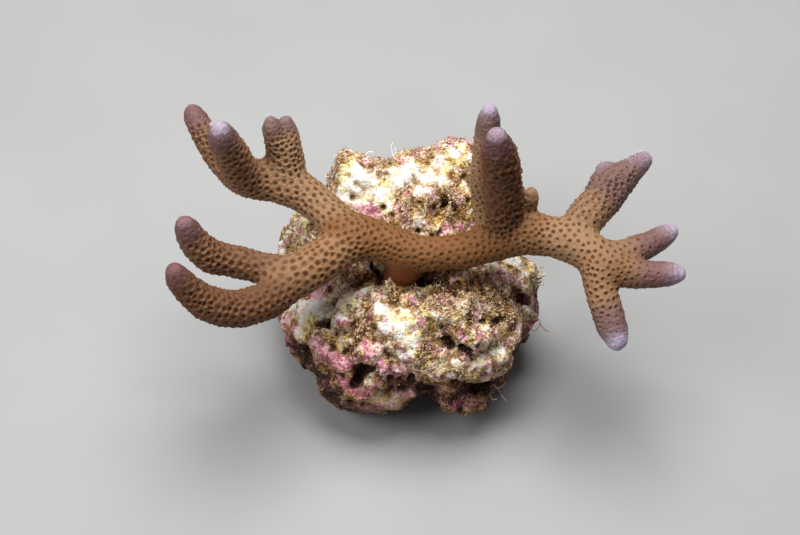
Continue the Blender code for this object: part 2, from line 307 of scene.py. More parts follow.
# What is seen on the rock: the pixel of its middle, and its radius in millimetres.
BUMPS = (
    (318, 346, 1.7), (324, 353, 1.8), (333, 359, 1.9), (343, 364, 2.0), (352, 367, 1.9),
    (366, 350, 1.9), (373, 357, 1.7), (380, 363, 1.7), (388, 369, 1.7), (398, 372, 1.5),
    (409, 371, 1.3), (343, 386, 1.4), (350, 391, 1.5), (360, 395, 1.5), (369, 391, 1.4),
    (376, 386, 1.2), (341, 322, 1.3), (348, 323, 1.1), (400, 330, 2.6), (412, 338, 2.2),
    (388, 322, 2.0), (395, 349, 1.2), (405, 352, 1.3), (416, 354, 1.2), (470, 308, 2.2),
    (458, 314, 1.7), (483, 303, 1.8), (497, 312, 1.6), (466, 326, 1.4), (430, 316, 1.6),
    (462, 337, 1.3), (482, 339, 1.3), (499, 347, 1.7), (430, 366, 1.3), (444, 368, 1.4),
    (458, 367, 1.4), (472, 372, 1.5), (490, 370, 1.6), (502, 362, 1.4), (452, 398, 1.9),
    (466, 401, 2.0), (474, 398, 1.5), (380, 401, 2.0), (394, 398, 2.1), (404, 392, 1.6),
    (342, 400, 1.5), (328, 386, 1.5), (308, 318, 2.2), (300, 308, 1.8), (322, 296, 1.6),
    (346, 302, 1.8), (512, 262, 2.0), (528, 272, 1.6), (458, 276, 1.5), (350, 160, 2.0),
    (345, 172, 1.6), (362, 186, 2.4), (384, 180, 2.2), (404, 184, 2.0), (418, 164, 2.2),
    (460, 148, 2.2), (446, 154, 2.0), (422, 198, 1.4), (410, 212, 1.3), (462, 196, 1.6),
)
HOLES = (
    (375, 272, 1.7), (383, 275, 1.6), (370, 277, 1.2), (378, 281, 1.2), (418, 280, 1.4),
    (426, 284, 1.6), (436, 287, 1.7), (446, 290, 1.7), (453, 293, 1.2), (322, 325, 1.4),
    (329, 328, 1.4), (337, 331, 1.1), (345, 332, 0.8), (350, 351, 1.3), (357, 355, 1.2),
    (362, 362, 1.2), (364, 370, 1.9), (358, 378, 1.6), (369, 366, 1.5), (354, 383, 1.0),
    (384, 353, 0.7), (389, 356, 0.7), (394, 359, 0.6), (381, 347, 0.6), (446, 340, 1.2),
    (452, 346, 1.4), (461, 348, 1.3), (470, 350, 1.1), (440, 346, 0.9), (492, 325, 1.4),
    (499, 322, 1.1), (470, 322, 0.7), (441, 311, 0.6), (443, 328, 0.6), (514, 294, 1.3),
    (520, 297, 1.6), (527, 301, 1.4), (508, 289, 0.9), (424, 387, 1.8), (434, 390, 2.0),
    (428, 397, 2.4), (436, 403, 2.0), (418, 392, 1.5), (466, 386, 1.5), (476, 388, 1.6),
    (486, 385, 1.5), (457, 383, 1.0), (495, 379, 0.9), (390, 380, 1.2), (400, 382, 1.4),
    (411, 380, 1.4), (378, 378, 1.0), (345, 378, 1.0), (338, 376, 0.7), (303, 350, 1.8),
    (297, 343, 1.2), (309, 356, 1.1), (338, 292, 0.5), (337, 297, 0.5), (331, 290, 0.5),
    (365, 405, 0.9), (350, 402, 0.7), (400, 210, 0.8), (406, 214, 0.7), (394, 215, 0.6),
    (447, 203, 1.1), (454, 208, 1.0), (442, 210, 0.7),
    (383, 206, 0.6), (420, 203, 0.5), (353, 196, 0.5), (310, 226, 1.2),
)
PINK = (
    (368, 210, 1.7), (376, 213, 1.2), (409, 194, 0.7), (448, 228, 1.2), (460, 226, 1.1),
    (325, 277, 1.1), (329, 283, 0.9), (313, 342, 1.1), (318, 348, 1.5), (325, 354, 1.6),
    (334, 360, 1.8), (343, 364, 1.8), (352, 367, 1.6), (359, 362, 1.0), (340, 373, 1.1),
    (345, 380, 0.9), (366, 345, 1.5), (371, 353, 1.4), (366, 358, 0.9), (379, 362, 1.4),
    (386, 370, 1.4), (394, 374, 1.2), (401, 370, 0.9), (410, 372, 0.8), (374, 366, 0.9),
    (346, 386, 1.0), (353, 391, 1.3), (361, 395, 1.2), (369, 391, 1.1), (375, 386, 0.9),
    (442, 336, 0.9), (463, 339, 0.8), (478, 349, 0.9),
    (436, 351, 0.8), (372, 408, 1.1), (380, 404, 0.9), (365, 411, 0.9), (376, 414, 0.8),
    (456, 405, 1.3), (464, 400, 0.8), (487, 366, 1.0), (497, 366, 0.9), (491, 376, 0.7),
    (361, 294, 0.9), (360, 309, 0.7), (411, 299, 0.7), (421, 321, 0.8), (304, 310, 0.7),
    (278, 316, 0.9), (288, 308, 0.8), (297, 302, 0.7), (536, 301, 0.8), (540, 312, 0.7),
    (317, 297, 1.0), (303, 312, 0.8), (288, 320, 0.9), (293, 330, 0.8), (318, 340, 0.8),
    (303, 364, 1.0), (309, 366, 0.8), (294, 350, 0.8), (466, 140, 1.0), (470, 148, 0.6),
    (300, 232, 0.8), (290, 240, 0.7), (371, 316, 0.9), (326, 384, 1.0), (407, 395, 0.8),
    (311, 296, 0.8), (319, 298, 0.7), (455, 278, 0.6), (516, 338, 0.7), (505, 343, 0.7),
    (350, 203, 0.6), (357, 207, 0.8), (404, 187, 0.4), (430, 207, 0.5), (418, 343, 0.6),
)
CRIMSON = (
    (461, 333, 1.0), (480, 337, 1.0),
    (338, 323, 0.9), (345, 324, 0.9), (343, 376, 0.8), (350, 373, 0.6), (340, 382, 0.6),
    (484, 374, 0.7), (491, 342, 0.6), (358, 290, 0.5), (439, 311, 0.4), (363, 404, 0.8),
    (404, 363, 0.5), (450, 404, 0.6), (455, 270, 0.4), (349, 367, 0.4), (330, 364, 0.6),
)
# Pale stone, and painted light: some patches, such as those on the left face under the left front limb
# and low in the middle, lift the tone where the rock lies in shade.
PALE_AND_PAINTED_LIGHT = (
    (384, 403, 1.7), (392, 407, 1.7), (400, 400, 1.9), (412, 393, 1.2),
    (352, 190, 3.6), (368, 184, 3.2), (384, 192, 3.0), (400, 176, 3.0), (414, 168, 3.2),
    (428, 176, 2.6), (452, 153, 1.5), (462, 147, 1.2), (438, 162, 1.8), (388, 206, 1.4),
    (360, 198, 2.2), (420, 190, 1.8), (418, 222, 1.4), (302, 308, 1.9), (309, 318, 1.3),
    (318, 286, 1.2), (392, 318, 2.2), (402, 330, 2.6), (410, 340, 2.2), (384, 328, 1.6),
    (418, 330, 1.2), (380, 308, 1.6), (405, 312, 1.2), (462, 308, 1.6), (476, 303, 1.2),
    (462, 318, 1.6), (487, 308, 0.9), (484, 328, 0.9), (452, 322, 0.9), (499, 349, 1.4),
    (492, 352, 0.9), (400, 353, 1.2), (412, 352, 1.0), (386, 398, 2.6), (396, 403, 2.6),
    (408, 396, 1.2), (470, 262, 2.0), (490, 260, 2.0), (510, 258, 2.0), (524, 272, 1.4),
    (281, 240, 1.4), (283, 252, 1.0), (464, 188, 1.2), (476, 196, 0.8), (365, 382, 0.6),
    (370, 380, 0.7), (449, 376, 0.7), (532, 288, 1.0), (466, 409, 1.0),
    # These patches on the left face under the limb are painted light.
    (294, 306, 2.3), (304, 322, 2.3), (314, 302, 2.4), (290, 318, 2.2), (320, 310, 2.3),
    (284, 312, 1.4), (286, 324, 1.8), (300, 332, 1.8), (330, 312, 1.7), (342, 314, 1.5),
    (336, 292, 1.5), (350, 296, 1.5), (362, 290, 1.3), (340, 304, 1.4),
    (486, 358, 1.4), (476, 366, 1.1),
    (350, 164, 2.2), (362, 170, 2.2), (344, 180, 1.8), (440, 176, 2.0), (470, 158, 1.2),
    (345, 400, 1.2), (357, 304, 0.9), (359, 315, 0.7), (344, 284, 0.6), (343, 347, 0.7),
    (328, 350, 0.7), (490, 370, 0.8), (430, 376, 0.5), (456, 362, 0.8), (500, 372, 0.6),
)
YELLOW = (
    (330, 338, 1.4), (338, 342, 1.6), (346, 337, 1.0), (326, 349, 1.0), (334, 351, 0.9),
    (404, 316, 1.2), (412, 322, 1.0), (396, 322, 0.9), (428, 315, 0.8), (424, 340, 1.0),
    (478, 377, 1.0), (468, 377, 0.8), (480, 360, 0.8), (348, 165, 1.6), (342, 176, 1.6),
    (356, 158, 1.2), (446, 168, 1.4), (462, 164, 1.4), (478, 210, 1.2), (452, 160, 1.0),
    (292, 246, 0.9), (304, 222, 0.8), (480, 222, 1.2), (432, 222, 1.0), (327, 300, 0.7),
    (344, 308, 0.6), (388, 300, 0.8), (373, 176, 0.6), (385, 200, 0.8), (314, 318, 0.7),
    (520, 322, 0.9), (508, 330, 0.8), (490, 336, 0.7), (318, 284, 0.6), (440, 342, 0.8),
)
RUST = (
    (348, 175, 0.9), (340, 182, 0.9), (452, 176, 1.7), (464, 178, 1.5), (448, 203, 1.3),
    (456, 210, 1.5), (430, 218, 1.5), (442, 222, 1.2), (468, 218, 1.1), (476, 216, 1.1),
    (440, 206, 1.0), (392, 222, 0.8), (446, 276, 1.3), (462, 284, 1.5), (476, 283, 1.6),
    (490, 284, 1.5), (436, 290, 1.2), (502, 298, 1.4), (508, 308, 1.3), (500, 318, 1.2),
    (486, 320, 1.0), (355, 326, 1.2), (364, 332, 1.4), (372, 326, 1.0), (356, 338, 0.9),
    (367, 308, 0.9), (352, 352, 1.1), (290, 335, 1.3), (298, 345, 1.4), (288, 326, 0.8),
    (412, 384, 1.4), (426, 380, 1.5), (440, 384, 1.3), (448, 346, 1.2), (466, 350, 1.0),
    (420, 332, 0.8), (432, 328, 0.8), (470, 322, 0.7), (480, 384, 1.2), (346, 274, 0.9),
    (358, 276, 1.0), (398, 296, 0.8), (400, 290, 1.2), (472, 340, 0.8), (512, 290, 1.2),
    (452, 384, 1.2), (330, 388, 0.9), (400, 386, 1.2), (388, 384, 1.1), (456, 140, 0.6),
    (446, 206, 2.0), (458, 212, 1.9), (440, 214, 1.5), (468, 206, 1.3),
)
# Painted shade: hollows, overhung places, the lowest faces and the trunk's shadow on the rock, where
# the rock is painted darkest.
PAINTED_SHADE = (
    (424, 275, 1.6), (434, 277, 1.8), (446, 281, 1.7), (457, 286, 1.5), (466, 292, 1.2),
    (376, 270, 1.4), (302, 352, 2.0), (310, 362, 2.2), (318, 371, 2.1), (324, 381, 1.6),
    (334, 396, 1.2), (422, 386, 2.2), (434, 391, 2.2), (362, 368, 1.8), (480, 386, 1.4),
    (338, 400, 1.5), (328, 392, 1.5), (345, 398, 1.2), (340, 390, 1.3),
    (292, 340, 1.2), (446, 346, 1.2), (466, 350, 1.2), (412, 382, 1.4), (396, 381, 1.2),
)
OLIVE = (
    (336, 302, 2.0), (346, 306, 2.0), (338, 290, 1.4), (350, 294, 1.6), (354, 284, 1.6),
    (370, 288, 1.8), (384, 292, 1.6), (312, 222, 1.8), (306, 234, 1.4), (432, 302, 1.4),
    (420, 294, 1.6), (408, 288, 1.4), (440, 362, 1.6), (456, 370, 1.4), (470, 360, 1.4),
    (484, 348, 0.8), (528, 292, 1.3), (532, 318, 1.2), (520, 310, 1.2), (492, 270, 1.2),
    (340, 396, 1.3), (320, 376, 1.4), (314, 366, 1.2), (436, 184, 1.0), (474, 204, 0.9),
    (424, 360, 1.3), (410, 204, 1.4), (422, 208, 1.2), (446, 192, 1.4), (390, 352, 1.2),
    (330, 332, 0.9), (506, 326, 1.1), (478, 366, 1.0), (370, 300, 1.0), (452, 302, 0.9),
)

# Where the rock is thick with grains and turf: the pixel, and the radius in millimetres.
GRAIN_PATCHES = (
    (470, 310, 4.5), (490, 305, 3.5), (455, 320, 3.0), (505, 318, 3.0), (440, 300, 2.5),
    (362, 328, 3.0), (425, 350, 2.5), (410, 208, 3.0), (450, 200, 3.5), (345, 160, 2.0),
    (440, 285, 2.0), (395, 296, 2.0), (460, 375, 1.5), (385, 160, 1.5), (420, 158, 1.5),
)
# Where fingers are frayed by short pale hairs.
FRAYS = (
    (597, 163, 0.6), (595, 165, 0.5), (629, 160, 0.6), (634, 156, 0.6), (640, 152, 0.5),
    (651, 156, 0.3), (270, 115, 0.8), (278, 113, 0.8), (284, 116, 0.5), (211, 124, 0.6),
    (216, 128, 0.4), (682, 272, 0.4),
)
# How many there are of each small thing.
FRAY_HAIRS = 340
ROCK_GRAINS = 5200
ROCK_HAIRS = 4200
ROCK_KNOBS = 260
ROCK_PINHOLES = 200
# The hairs' radius at the foot, in millimetres.
FRAY_RADIUS = 0.045
TURF_RADIUS = 0.055
# Threads of red algae and pale sprigs at the rock's edge: a radius in millimetres, then the
# pixels that each passes from its foot outwards.
THREADS = (
    (0.13, (527, 323), (531, 329), (536, 331), (539, 327), (541, 323)),
    (0.11, (538, 318), (541, 325), (545, 330), (549, 332)),
    (0.14, (493, 384), (498, 388), (503, 386), (506, 382)),
    (0.12, (494, 386), (500, 391), (503, 397), (507, 401)),
    (0.12, (486, 391), (490, 395), (493, 400), (497, 399)),
    (0.10, (498, 385), (502, 390), (504, 386)),
    (0.09, (416, 153), (417, 149), (418, 145)),
)
SPRIGS = (
    (0.12, (537, 277), (540, 275), (542, 271), (541, 268), (543, 266)),
    (0.12, (538, 278), (542, 276), (545, 273)),
    (0.11, (538, 282), (541, 280), (545, 279)),
    (0.11, (537, 285), (541, 284), (544, 284)),
    (0.07, (393, 157), (392, 151), (391, 146), (393, 142)),
    (0.06, (393, 157), (396, 152), (395, 147)),
    (0.10, (366, 156), (368, 152), (374, 152)),
    (0.07, (338, 157), (335, 155), (333, 158)),
    (0.07, (330, 176), (326, 177), (325, 175)),
)

Limb = namedtuple("Limb", "node route habit tipped")
FAR = 7.0  # mm, beyond which a limb no longer shapes the skin
FORK_BIAS = 0.35  # mm, by which each fork moves a piece's cut towards the tip
NO_TIP = 99.0  # mm, what stands for the way to the tip on a limb that has none
# How many places are worked out at a time, in a limb's distances and in a search for the nearest.
CHUNK = 20000
BLOCK = 2000
SHELF_PITCH = 1.5  # mm, from shelf to shelf along a finger
CAP_DEPTH = 1.1  # mm, how far a cut goes straight into the limb before it is closed
LATTICE = 64  # cubes along each side of the noise's lattice, after which it repeats
# Seeds of the noises.
SWELL_SEED = 5
GRIT_SEEDS = (6, 8)
SHELF_SEED = 9
THREAD_SEED = 5
LUMP_SEED = 20
BEND_SEED = 40
CRUST_SEED = 60
CARVE_SEED = 90


def smoothstep(low, high, value):
    """0 up to low, 1 from high on, and 3t^2 - 2t^3 of the way between."""
    share = np.clip((value - low) / (high - low), 0.0, 1.0)
    return share * share * (3.0 - 2.0 * share)


def unit(vectors):
    """Each row at length 1."""
    return vectors / np.maximum(np.linalg.norm(vectors, axis=-1, keepdims=True), 1e-9)


def smooth_noise(places, size, seed):
    """Noise from about -1 to 1: random values at the corners of a lattice of cubes of the given
    size, blended inside a cube by the fade 6t^5 - 15t^4 + 10t^3 of each coordinate."""
    lattice = np.random.default_rng(seed).uniform(-1.0, 1.0, (LATTICE,) * 3).astype(np.float32)
    cell = places / size + 1000.0
    low = np.floor(cell)
    share = (cell - low).astype(np.float32)
    low = low.astype(np.int64)
    fade = share**3 * (share * (share * 6.0 - 15.0) + 10.0)
    total = np.zeros(len(places), np.float32)
    for corner in np.ndindex(2, 2, 2):
        weight = np.prod(np.where(corner, fade, 1.0 - fade), axis=1)
        x, y, z = ((low + corner) % LATTICE).T
        total += weight * lattice[x, y, z]
    return total


def smooth_route(points, spacing=0.5):
    """The Catmull-Rom curve through a route's points: between two points it is the cubic that
    leaves each along the line joining that point's neighbours. Rows of x, y, z, radius."""
    points = np.array(points)
    padded = np.vstack((points[:1], points, points[-1:]))
    rows = []
    for before, start, end, after in zip(padded, padded[1:], padded[2:], padded[3:]):
        steps = max(1, round(np.linalg.norm(end[:3] - start[:3]) / spacing))
        t = (np.arange(steps) / steps)[:, None]
        bend = 2 * before - 5 * start + 4 * end - after
        twist = 3 * (start - end) + after - before
        rows.append(start + 0.5 * t * ((end - before) + t * (bend + t * twist)))
    return np.vstack((*rows, points[-1:]))


def make_limbs():
    """Every route as a limb. The limbs that others grow from have no tip of their own."""
    limbs = []
    parents = ("trunk", "holdfast", "left_back_limb", "left_front_limb", "right_limb")
    for node, points in ROUTES.items():
        limbs.append(Limb(node, smooth_route(points), HABITS[node], node not in parents))
        for side in SIDE_ROUTES.get(node, ()):
            limbs.append(Limb(node, smooth_route(side), HABITS[node], True))
    return limbs


LIMBS = make_limbs()
NODES = list(ROUTES)


def limb_box(limb):
    """The lowest and highest corner of the box round a limb."""
    centres, radii = limb.route[:, :3], limb.route[:, 3:]
    return (centres - radii).min(0), (centres + radii).max(0)


def limb_skin(places, limb):
    """How a limb lies about each place: the distance to the nearest point of its route less the
    radius there, the direction away from that point, the route's direction and the way to the
    tip."""
    route = limb.route
    start, run = route[:-1], np.diff(route, axis=0)
    lengths = np.linalg.norm(run[:, :3], axis=1)
    reach = places @ run[:, :3].T - (start[:, :3] * run[:, :3]).sum(1)
    share = np.clip(reach / lengths**2, 0.0, 1.0)
    square = (places**2).sum(1)[:, None] - 2 * places @ start[:, :3].T + (start[:, :3]**2).sum(1)
    square += share * (share * lengths**2 - 2 * reach)
    gap = np.sqrt(np.maximum(square, 0.0)) - start[:, 3] - share * run[:, 3]
    best = gap.argmin(1)
    rows = np.arange(len(places))
    share = share[rows, best]
    foot = start[best] + share[:, None] * run[best]
    away = places - foot[:, :3]
    along = run[best, :3] / lengths[best, None]
    passed = (np.cumsum(lengths) - lengths)[best] + share * lengths[best]
    past_end = np.maximum((away * along).sum(1), 0.0) * (best == len(run) - 1)
    to_tip = lengths.sum() + route[-1, 3] - passed - past_end
    if not limb.tipped:
        to_tip = np.full(len(places), NO_TIP)
    return gap[rows, best], unit(away), along, to_tip


def colony(places, blend):
    """The whole coral's skin: the smooth minimum -k log(sum exp(-d / k)) of the limbs' distances
    d, and the limbs' directions and habits averaged with the same weights."""
    total = np.zeros(len(places))
    sums = np.zeros((len(places), 7 + HABIT_SIZE))
    nearest = np.full(len(places), np.inf)
    owner = np.zeros(len(places), int)
    for limb in LIMBS:
        low, high = limb_box(limb)
        inside = np.flatnonzero(((places > low - FAR) & (places < high + FAR)).all(1))
        for part in np.array_split(inside, len(inside) // CHUNK + 1):
            gap, away, along, to_tip = limb_skin(places[part], limb)
            weight = np.exp(-gap / blend)
            total[part] += weight
            habit = np.broadcast_to(limb.habit[:HABIT_SIZE], (len(part), HABIT_SIZE))
            values = np.column_stack((away, along, to_tip, habit))
            sums[part] += weight[:, None] * values
            biased = gap + FORK_BIAS * limb.habit.forks
            closer = biased < nearest[part]
            nearest[part[closer]] = biased[closer]
            owner[part[closer]] = NODES.index(limb.node)
    found = total > 0
    distance = np.full(len(places), FAR)
    distance[found] = -blend * np.log(total[found])
    sums /= np.maximum(total, 1e-30)[:, None]
    return distance, sums[:, :3], sums[:, 3:6], sums[:, 6], sums[:, 7:], owner


def grid_places(low, shape, step):
    """The places of a grid's corners: low and step times their numbers along each axis."""
    axes = [low[axis] + step * np.arange(shape[axis]) for axis in range(3)]
    return np.stack(np.meshgrid(*axes, indexing="ij"), axis=-1).reshape(-1, 3)


def surface_net(field, low, step):
    """The zero level of a field on a grid. Every cell that the level crosses has one point, the
    mean of the crossings on its edges, and every grid edge that it cuts has one quad round it."""
    cells = np.array(field.shape) - 1
    sums = np.zeros((np.prod(cells), 3))
    counts = np.zeros(np.prod(cells))
    rings = []
    for axis in range(3):
        first = np.take(field, np.arange(field.shape[axis] - 1), axis)
        last = np.take(field, np.arange(1, field.shape[axis]), axis)
        edge = np.argwhere((first < 0) != (last < 0))
        start, end = first[tuple(edge.T)], last[tuple(edge.T)]
        crossing = edge.astype(float)
        crossing[:, axis] += start / (start - end)
        side, up = (axis + 1) % 3, (axis + 2) % 3
        ring, whole = [], np.ones(len(edge), bool)
        for back, down in ((1, 1), (0, 1), (0, 0), (1, 0)):
            cell = edge.copy()
            cell[:, side] -= back
            cell[:, up] -= down
            held = ((cell >= 0) & (cell < cells)).all(1)
            flat = np.ravel_multi_index(tuple(np.clip(cell, 0, cells - 1).T), cells)
            for part in range(3):
                sums[:, part] += np.bincount(flat[held], crossing[held, part], len(counts))
            counts += np.bincount(flat[held], minlength=len(counts))
            whole &= held
            ring.append(flat)
        ring = np.column_stack(ring)
        ring = np.where((start < 0)[:, None], ring, ring[:, ::-1])
        rings.append(ring[whole])
    used = counts > 0
    number = np.cumsum(used) - 1
    points = low + step * sums[used] / counts[used, None]
    return points, number[np.vstack(rings)]


def edges_of(faces):
    """Each face's edges as corner pairs, faces x corners x 2."""
    return np.stack((faces, np.roll(faces, -1, axis=1)), axis=2)


def split_quads(points, quads):
    """Four quads for each quad, with new points at the middles of the edges and of the quads."""
    pairs = np.sort(edges_of(quads).reshape(-1, 2), axis=1)
    keys, inverse = np.unique(pairs[:, 0] * len(points) + pairs[:, 1], return_inverse=True)
    middles = 0.5 * (points[keys // len(points)] + points[keys % len(points)])
    centres = points[quads].mean(1)
    edge = inverse.reshape(-1, 4) + len(points)
    centre = np.arange(len(quads)) + len(points) + len(keys)
    new = [np.column_stack((quads[:, i], edge[:, i], centre, edge[:, i - 1])) for i in range(4)]
    return np.vstack((points, middles, centres)), np.vstack(new)


def relax(points, quads, rounds, share=0.5):
    """Moves every point part of the way to the mean of its neighbours, again and again."""
    pairs = edges_of(quads).reshape(-1, 2)
    counts = np.bincount(pairs[:, 0], minlength=len(points))
    for _ in range(rounds):
        mean = np.column_stack([
            np.bincount(pairs[:, 0], points[pairs[:, 1], axis], len(points)) for axis in range(3)
        ]) / counts[:, None]
        points = points + share * (mean - points)
    return points


def crossed_diagonals(points, quads):
    """Each quad's outward vector, twice its area long: its diagonals' cross product."""
    first, second, third, fourth = points[quads.T]
    return np.cross(third - first, fourth - second)


def point_normals(points, quads):
    """Each point's outward direction: the sum of the crossed diagonals of the quads round it."""
    crossed = crossed_diagonals(points, quads)
    total = np.zeros_like(points)
    for corner in range(4):
        for axis in range(3):
            total[:, axis] += np.bincount(quads[:, corner], crossed[:, axis], len(points))
    return unit(total)


def onto_skin(points, blend, rounds):
    """Newton's steps to the colony's skin: against its slope by distance over slope."""
    for _ in range(rounds):
        distance, slope, *_ = colony(points, blend)
        steep = np.maximum((slope**2).sum(1), 0.2)
        points = points - (distance / steep)[:, None] * slope
    return points


def nearest_two(places, centres):
    """The number of the nearest centre to each place, and the distances to it and to the next."""
    middle = centres.mean(0)
    places, centres = (places - middle).astype(np.float32), (centres - middle).astype(np.float32)
    numbers = np.zeros(len(places), int)
    gaps = np.zeros((len(places), 2))
    squares = (centres**2).sum(1)
    for start in range(0, len(places), BLOCK):
        block = places[start : start + BLOCK]
        rows = np.arange(len(block))
        far = squares - 2.0 * (block @ centres.T)
        best = far.argmin(1)
        numbers[start : start + BLOCK] = best
        near = np.linalg.norm(block - centres[best], axis=1)
        far[rows, best] = np.inf
        next_near = far.min(1) + (block**2).sum(1)
        gaps[start : start + BLOCK] = np.column_stack((near, np.sqrt(np.maximum(next_near, 0.0))))
    return numbers, gaps


def nearest_one(places, centres):
    """The number of the nearest centre to each place."""
    places, centres = places.astype(np.float32), centres.astype(np.float32)
    squares = (centres**2).sum(1)
    blocks = range(0, len(places), BLOCK)
    return np.concatenate([
        (squares - 2.0 * (places[start : start + BLOCK] @ centres.T)).argmin(1) for start in blocks
    ])


def scatter_pores(points, areas, pitch, blend, seed):
    """Pore centres spread evenly over the skin: random points, then each moved to the mean of
    the part of the skin that is nearest to it, again and again."""
    rng = np.random.default_rng(seed)
    density = areas / (0.87 * pitch**2)
    count = int(density.sum())
    centres = points[rng.choice(len(points), count, replace=False, p=density / density.sum())]
    weight = density / pitch**2
    some = rng.choice(len(points), len(points) // 3, replace=False)
    for chosen in (some, some, some, some, some, some, slice(None)):
        numbers = nearest_one(points[chosen], centres)
        total = np.bincount(numbers, weight[chosen], count)
        mean = np.column_stack([
            np.bincount(numbers, weight[chosen] * points[chosen, axis], count) for axis in range(3)
        ])
        centres = np.where(total[:, None] > 0, mean / np.maximum(total, 1e-9)[:, None], centres)
    return onto_skin(centres, blend, 2)


def boundary_of(faces, total):
    """The edges that only one face has, as corner pairs in the faces' own order."""
    pairs = edges_of(faces).reshape(-1, 2)
    own = pairs[:, 0] * total + pairs[:, 1]
    return pairs[~np.isin(own, pairs[:, 1] * total + pairs[:, 0])]


def joined_labels(groups, total):
    """For each point the least number among the points that edges or faces join it to."""
    label = np.arange(total)
    while True:
        least = label[groups].min(1)
        new = label.copy()
        for column in groups.T:
            np.minimum.at(new, column, least)
        new = new[new]
        if (new == label).all():
            return label
        label = new


def cap_cuts(points, normals, pairs):
    """Closes every loop of open edges: a band of quads straight into the limb, and a fan of
    triangles round the middle of the band's inner edge."""
    rim = np.unique(pairs)
    inner = points[rim] - CAP_DEPTH * normals[rim]
    sunk = np.searchsorted(rim, pairs) + len(points)
    band = np.column_stack((pairs[:, 1], pairs[:, 0], sunk[:, 0], sunk[:, 1]))
    loop = joined_labels(pairs, len(points))[pairs[:, 0]]
    _, number = np.unique(loop, return_inverse=True)
    count = np.bincount(number)[:, None]
    inside = inner[np.searchsorted(rim, pairs[:, 0])]
    middles = np.column_stack([np.bincount(number, inside[:, axis]) for axis in range(3)]) / count
    fans = np.column_stack((sunk[:, 1], sunk[:, 0], number + len(points) + len(rim)))
    return np.vstack((inner, middles)), band, fans


def new_mesh(name, points, blocks, values=None, normals=None):
    """A mesh of points in millimetres and blocks of faces with equal corners, smooth-shaded, with
    its values as point attributes."""
    mesh = bpy.data.meshes.new(name)
    corners = np.concatenate([block.ravel() for block in blocks])
    sizes = np.concatenate([np.full(len(block), block.shape[1]) for block in blocks])
    mesh.vertices.add(len(points))
    mesh.vertices.foreach_set("co", (points * MM).astype(np.float32).ravel())
    mesh.loops.add(len(corners))
    mesh.loops.foreach_set("vertex_index", corners.astype(np.int32))
    mesh.polygons.add(len(sizes))
    mesh.polygons.foreach_set("loop_start", (np.cumsum(sizes) - sizes).astype(np.int32))
    mesh.update(calc_edges=True)
    mesh.shade_smooth()
    for key, value in (values or {}).items():
        attribute = mesh.attributes.new(key, "FLOAT", "POINT")
        attribute.data.foreach_set("value", value.astype(np.float32))
    if normals is not None:
        mesh.normals_split_custom_set_from_vertices(normals.astype(np.float32))
    return mesh


def new_piece(name, mesh, material, node):
    """A mesh as a piece on the root body, in place of a CAD node where one is named."""
    piece = bpy.data.objects.new(name, mesh)
    bpy.context.scene.collection.objects.link(piece)
    mesh.materials.append(material)
    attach(piece, "root")
    if node:
        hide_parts(node)


def add_node(tree, kind, settings=None, sockets=None):
    """A shader node. A socket's key is its name or number, and its value is a number, a colour or
    another node's output."""
    node = tree.nodes.new(kind)
    for name, value in (settings or {}).items():
        setattr(node, name, value)
    for name, value in (sockets or {}).items():
        socket = node.inputs[name]
        if isinstance(value, bpy.types.NodeSocket):
            tree.links.new(value, socket)
        else:
            socket.default_value = value
    return node


def read_attribute(tree, name):
    """A value that the mesh holds at each point."""
    return add_node(tree, "ShaderNodeAttribute", {"attribute_name": name}).outputs["Fac"]


def mixed(tree, share, first, second):
    """The colour first where share is 0 and second where it is 1."""
    first, second = (
        value if isinstance(value, bpy.types.NodeSocket) else (*value, 1.0) for value in (first, second)
    )
    sockets = {0: share, 6: first, 7: second}
    return add_node(tree, "ShaderNodeMix", {"data_type": "RGBA"}, sockets).outputs[2]


def stepped(tree, value, low, high, bottom=0.0, top=1.0):
    """bottom where value is low or less, top where it is high or more, smooth between."""
    node = add_node(tree, "ShaderNodeMapRange", {"interpolation_type": "SMOOTHSTEP"}, {
        "Value": value, "From Min": low, "From Max": high, "To Min": bottom, "To Max": top,
    })
    return node.outputs["Result"]


def computed(tree, operation, first, second, third=0.0):
    """One step of arithmetic on numbers or other nodes' outputs."""
    sockets = {0: first, 1: second, 2: third}
    return add_node(tree, "ShaderNodeMath", {"operation": operation}, sockets).outputs[0]


def noise_at(tree, coordinates, size, detail=3.0, roughness=0.55):
    """Noise from 0 to 1 whose features are about size mm wide."""
    node = add_node(tree, "ShaderNodeTexNoise", {}, {
        "Vector": coordinates, "Scale": 1.0 / (size * MM), "Detail": detail, "Roughness": roughness,
    })
    return node.outputs["Fac"]


def new_material(name):
    """A material's node tree, its shader and its object coordinates."""
    material = bpy.data.materials.new(name)
    material.use_nodes = True
    tree = material.node_tree
    shader = tree.nodes["Principled BSDF"]
    coordinates = add_node(tree, "ShaderNodeTexCoord").outputs["Object"]
    return material, tree, shader, coordinates


def raise_bumps(tree, shader, height, strength, distance):
    """Fine relief, a height of 1 standing out by distance in millimetres."""
    node = add_node(tree, "ShaderNodeBump", {}, {
        "Height": height, "Strength": strength, "Distance": distance * MM,
    })
    tree.links.new(node.outputs["Normal"], shader.inputs["Normal"])


def ramp(tree, value, colours):
    """Evenly spaced colours from value 0 to value 1."""
    node = add_node(tree, "ShaderNodeValToRGB", {}, {"Fac": value})
    stops = node.color_ramp.elements
    while len(stops) < len(colours):
        stops.new(1.0)
    for index, colour in enumerate(colours):
        stops[index].position = index / (len(colours) - 1)
        stops[index].color = (*colour, 1.0)
    return node.outputs["Color"]


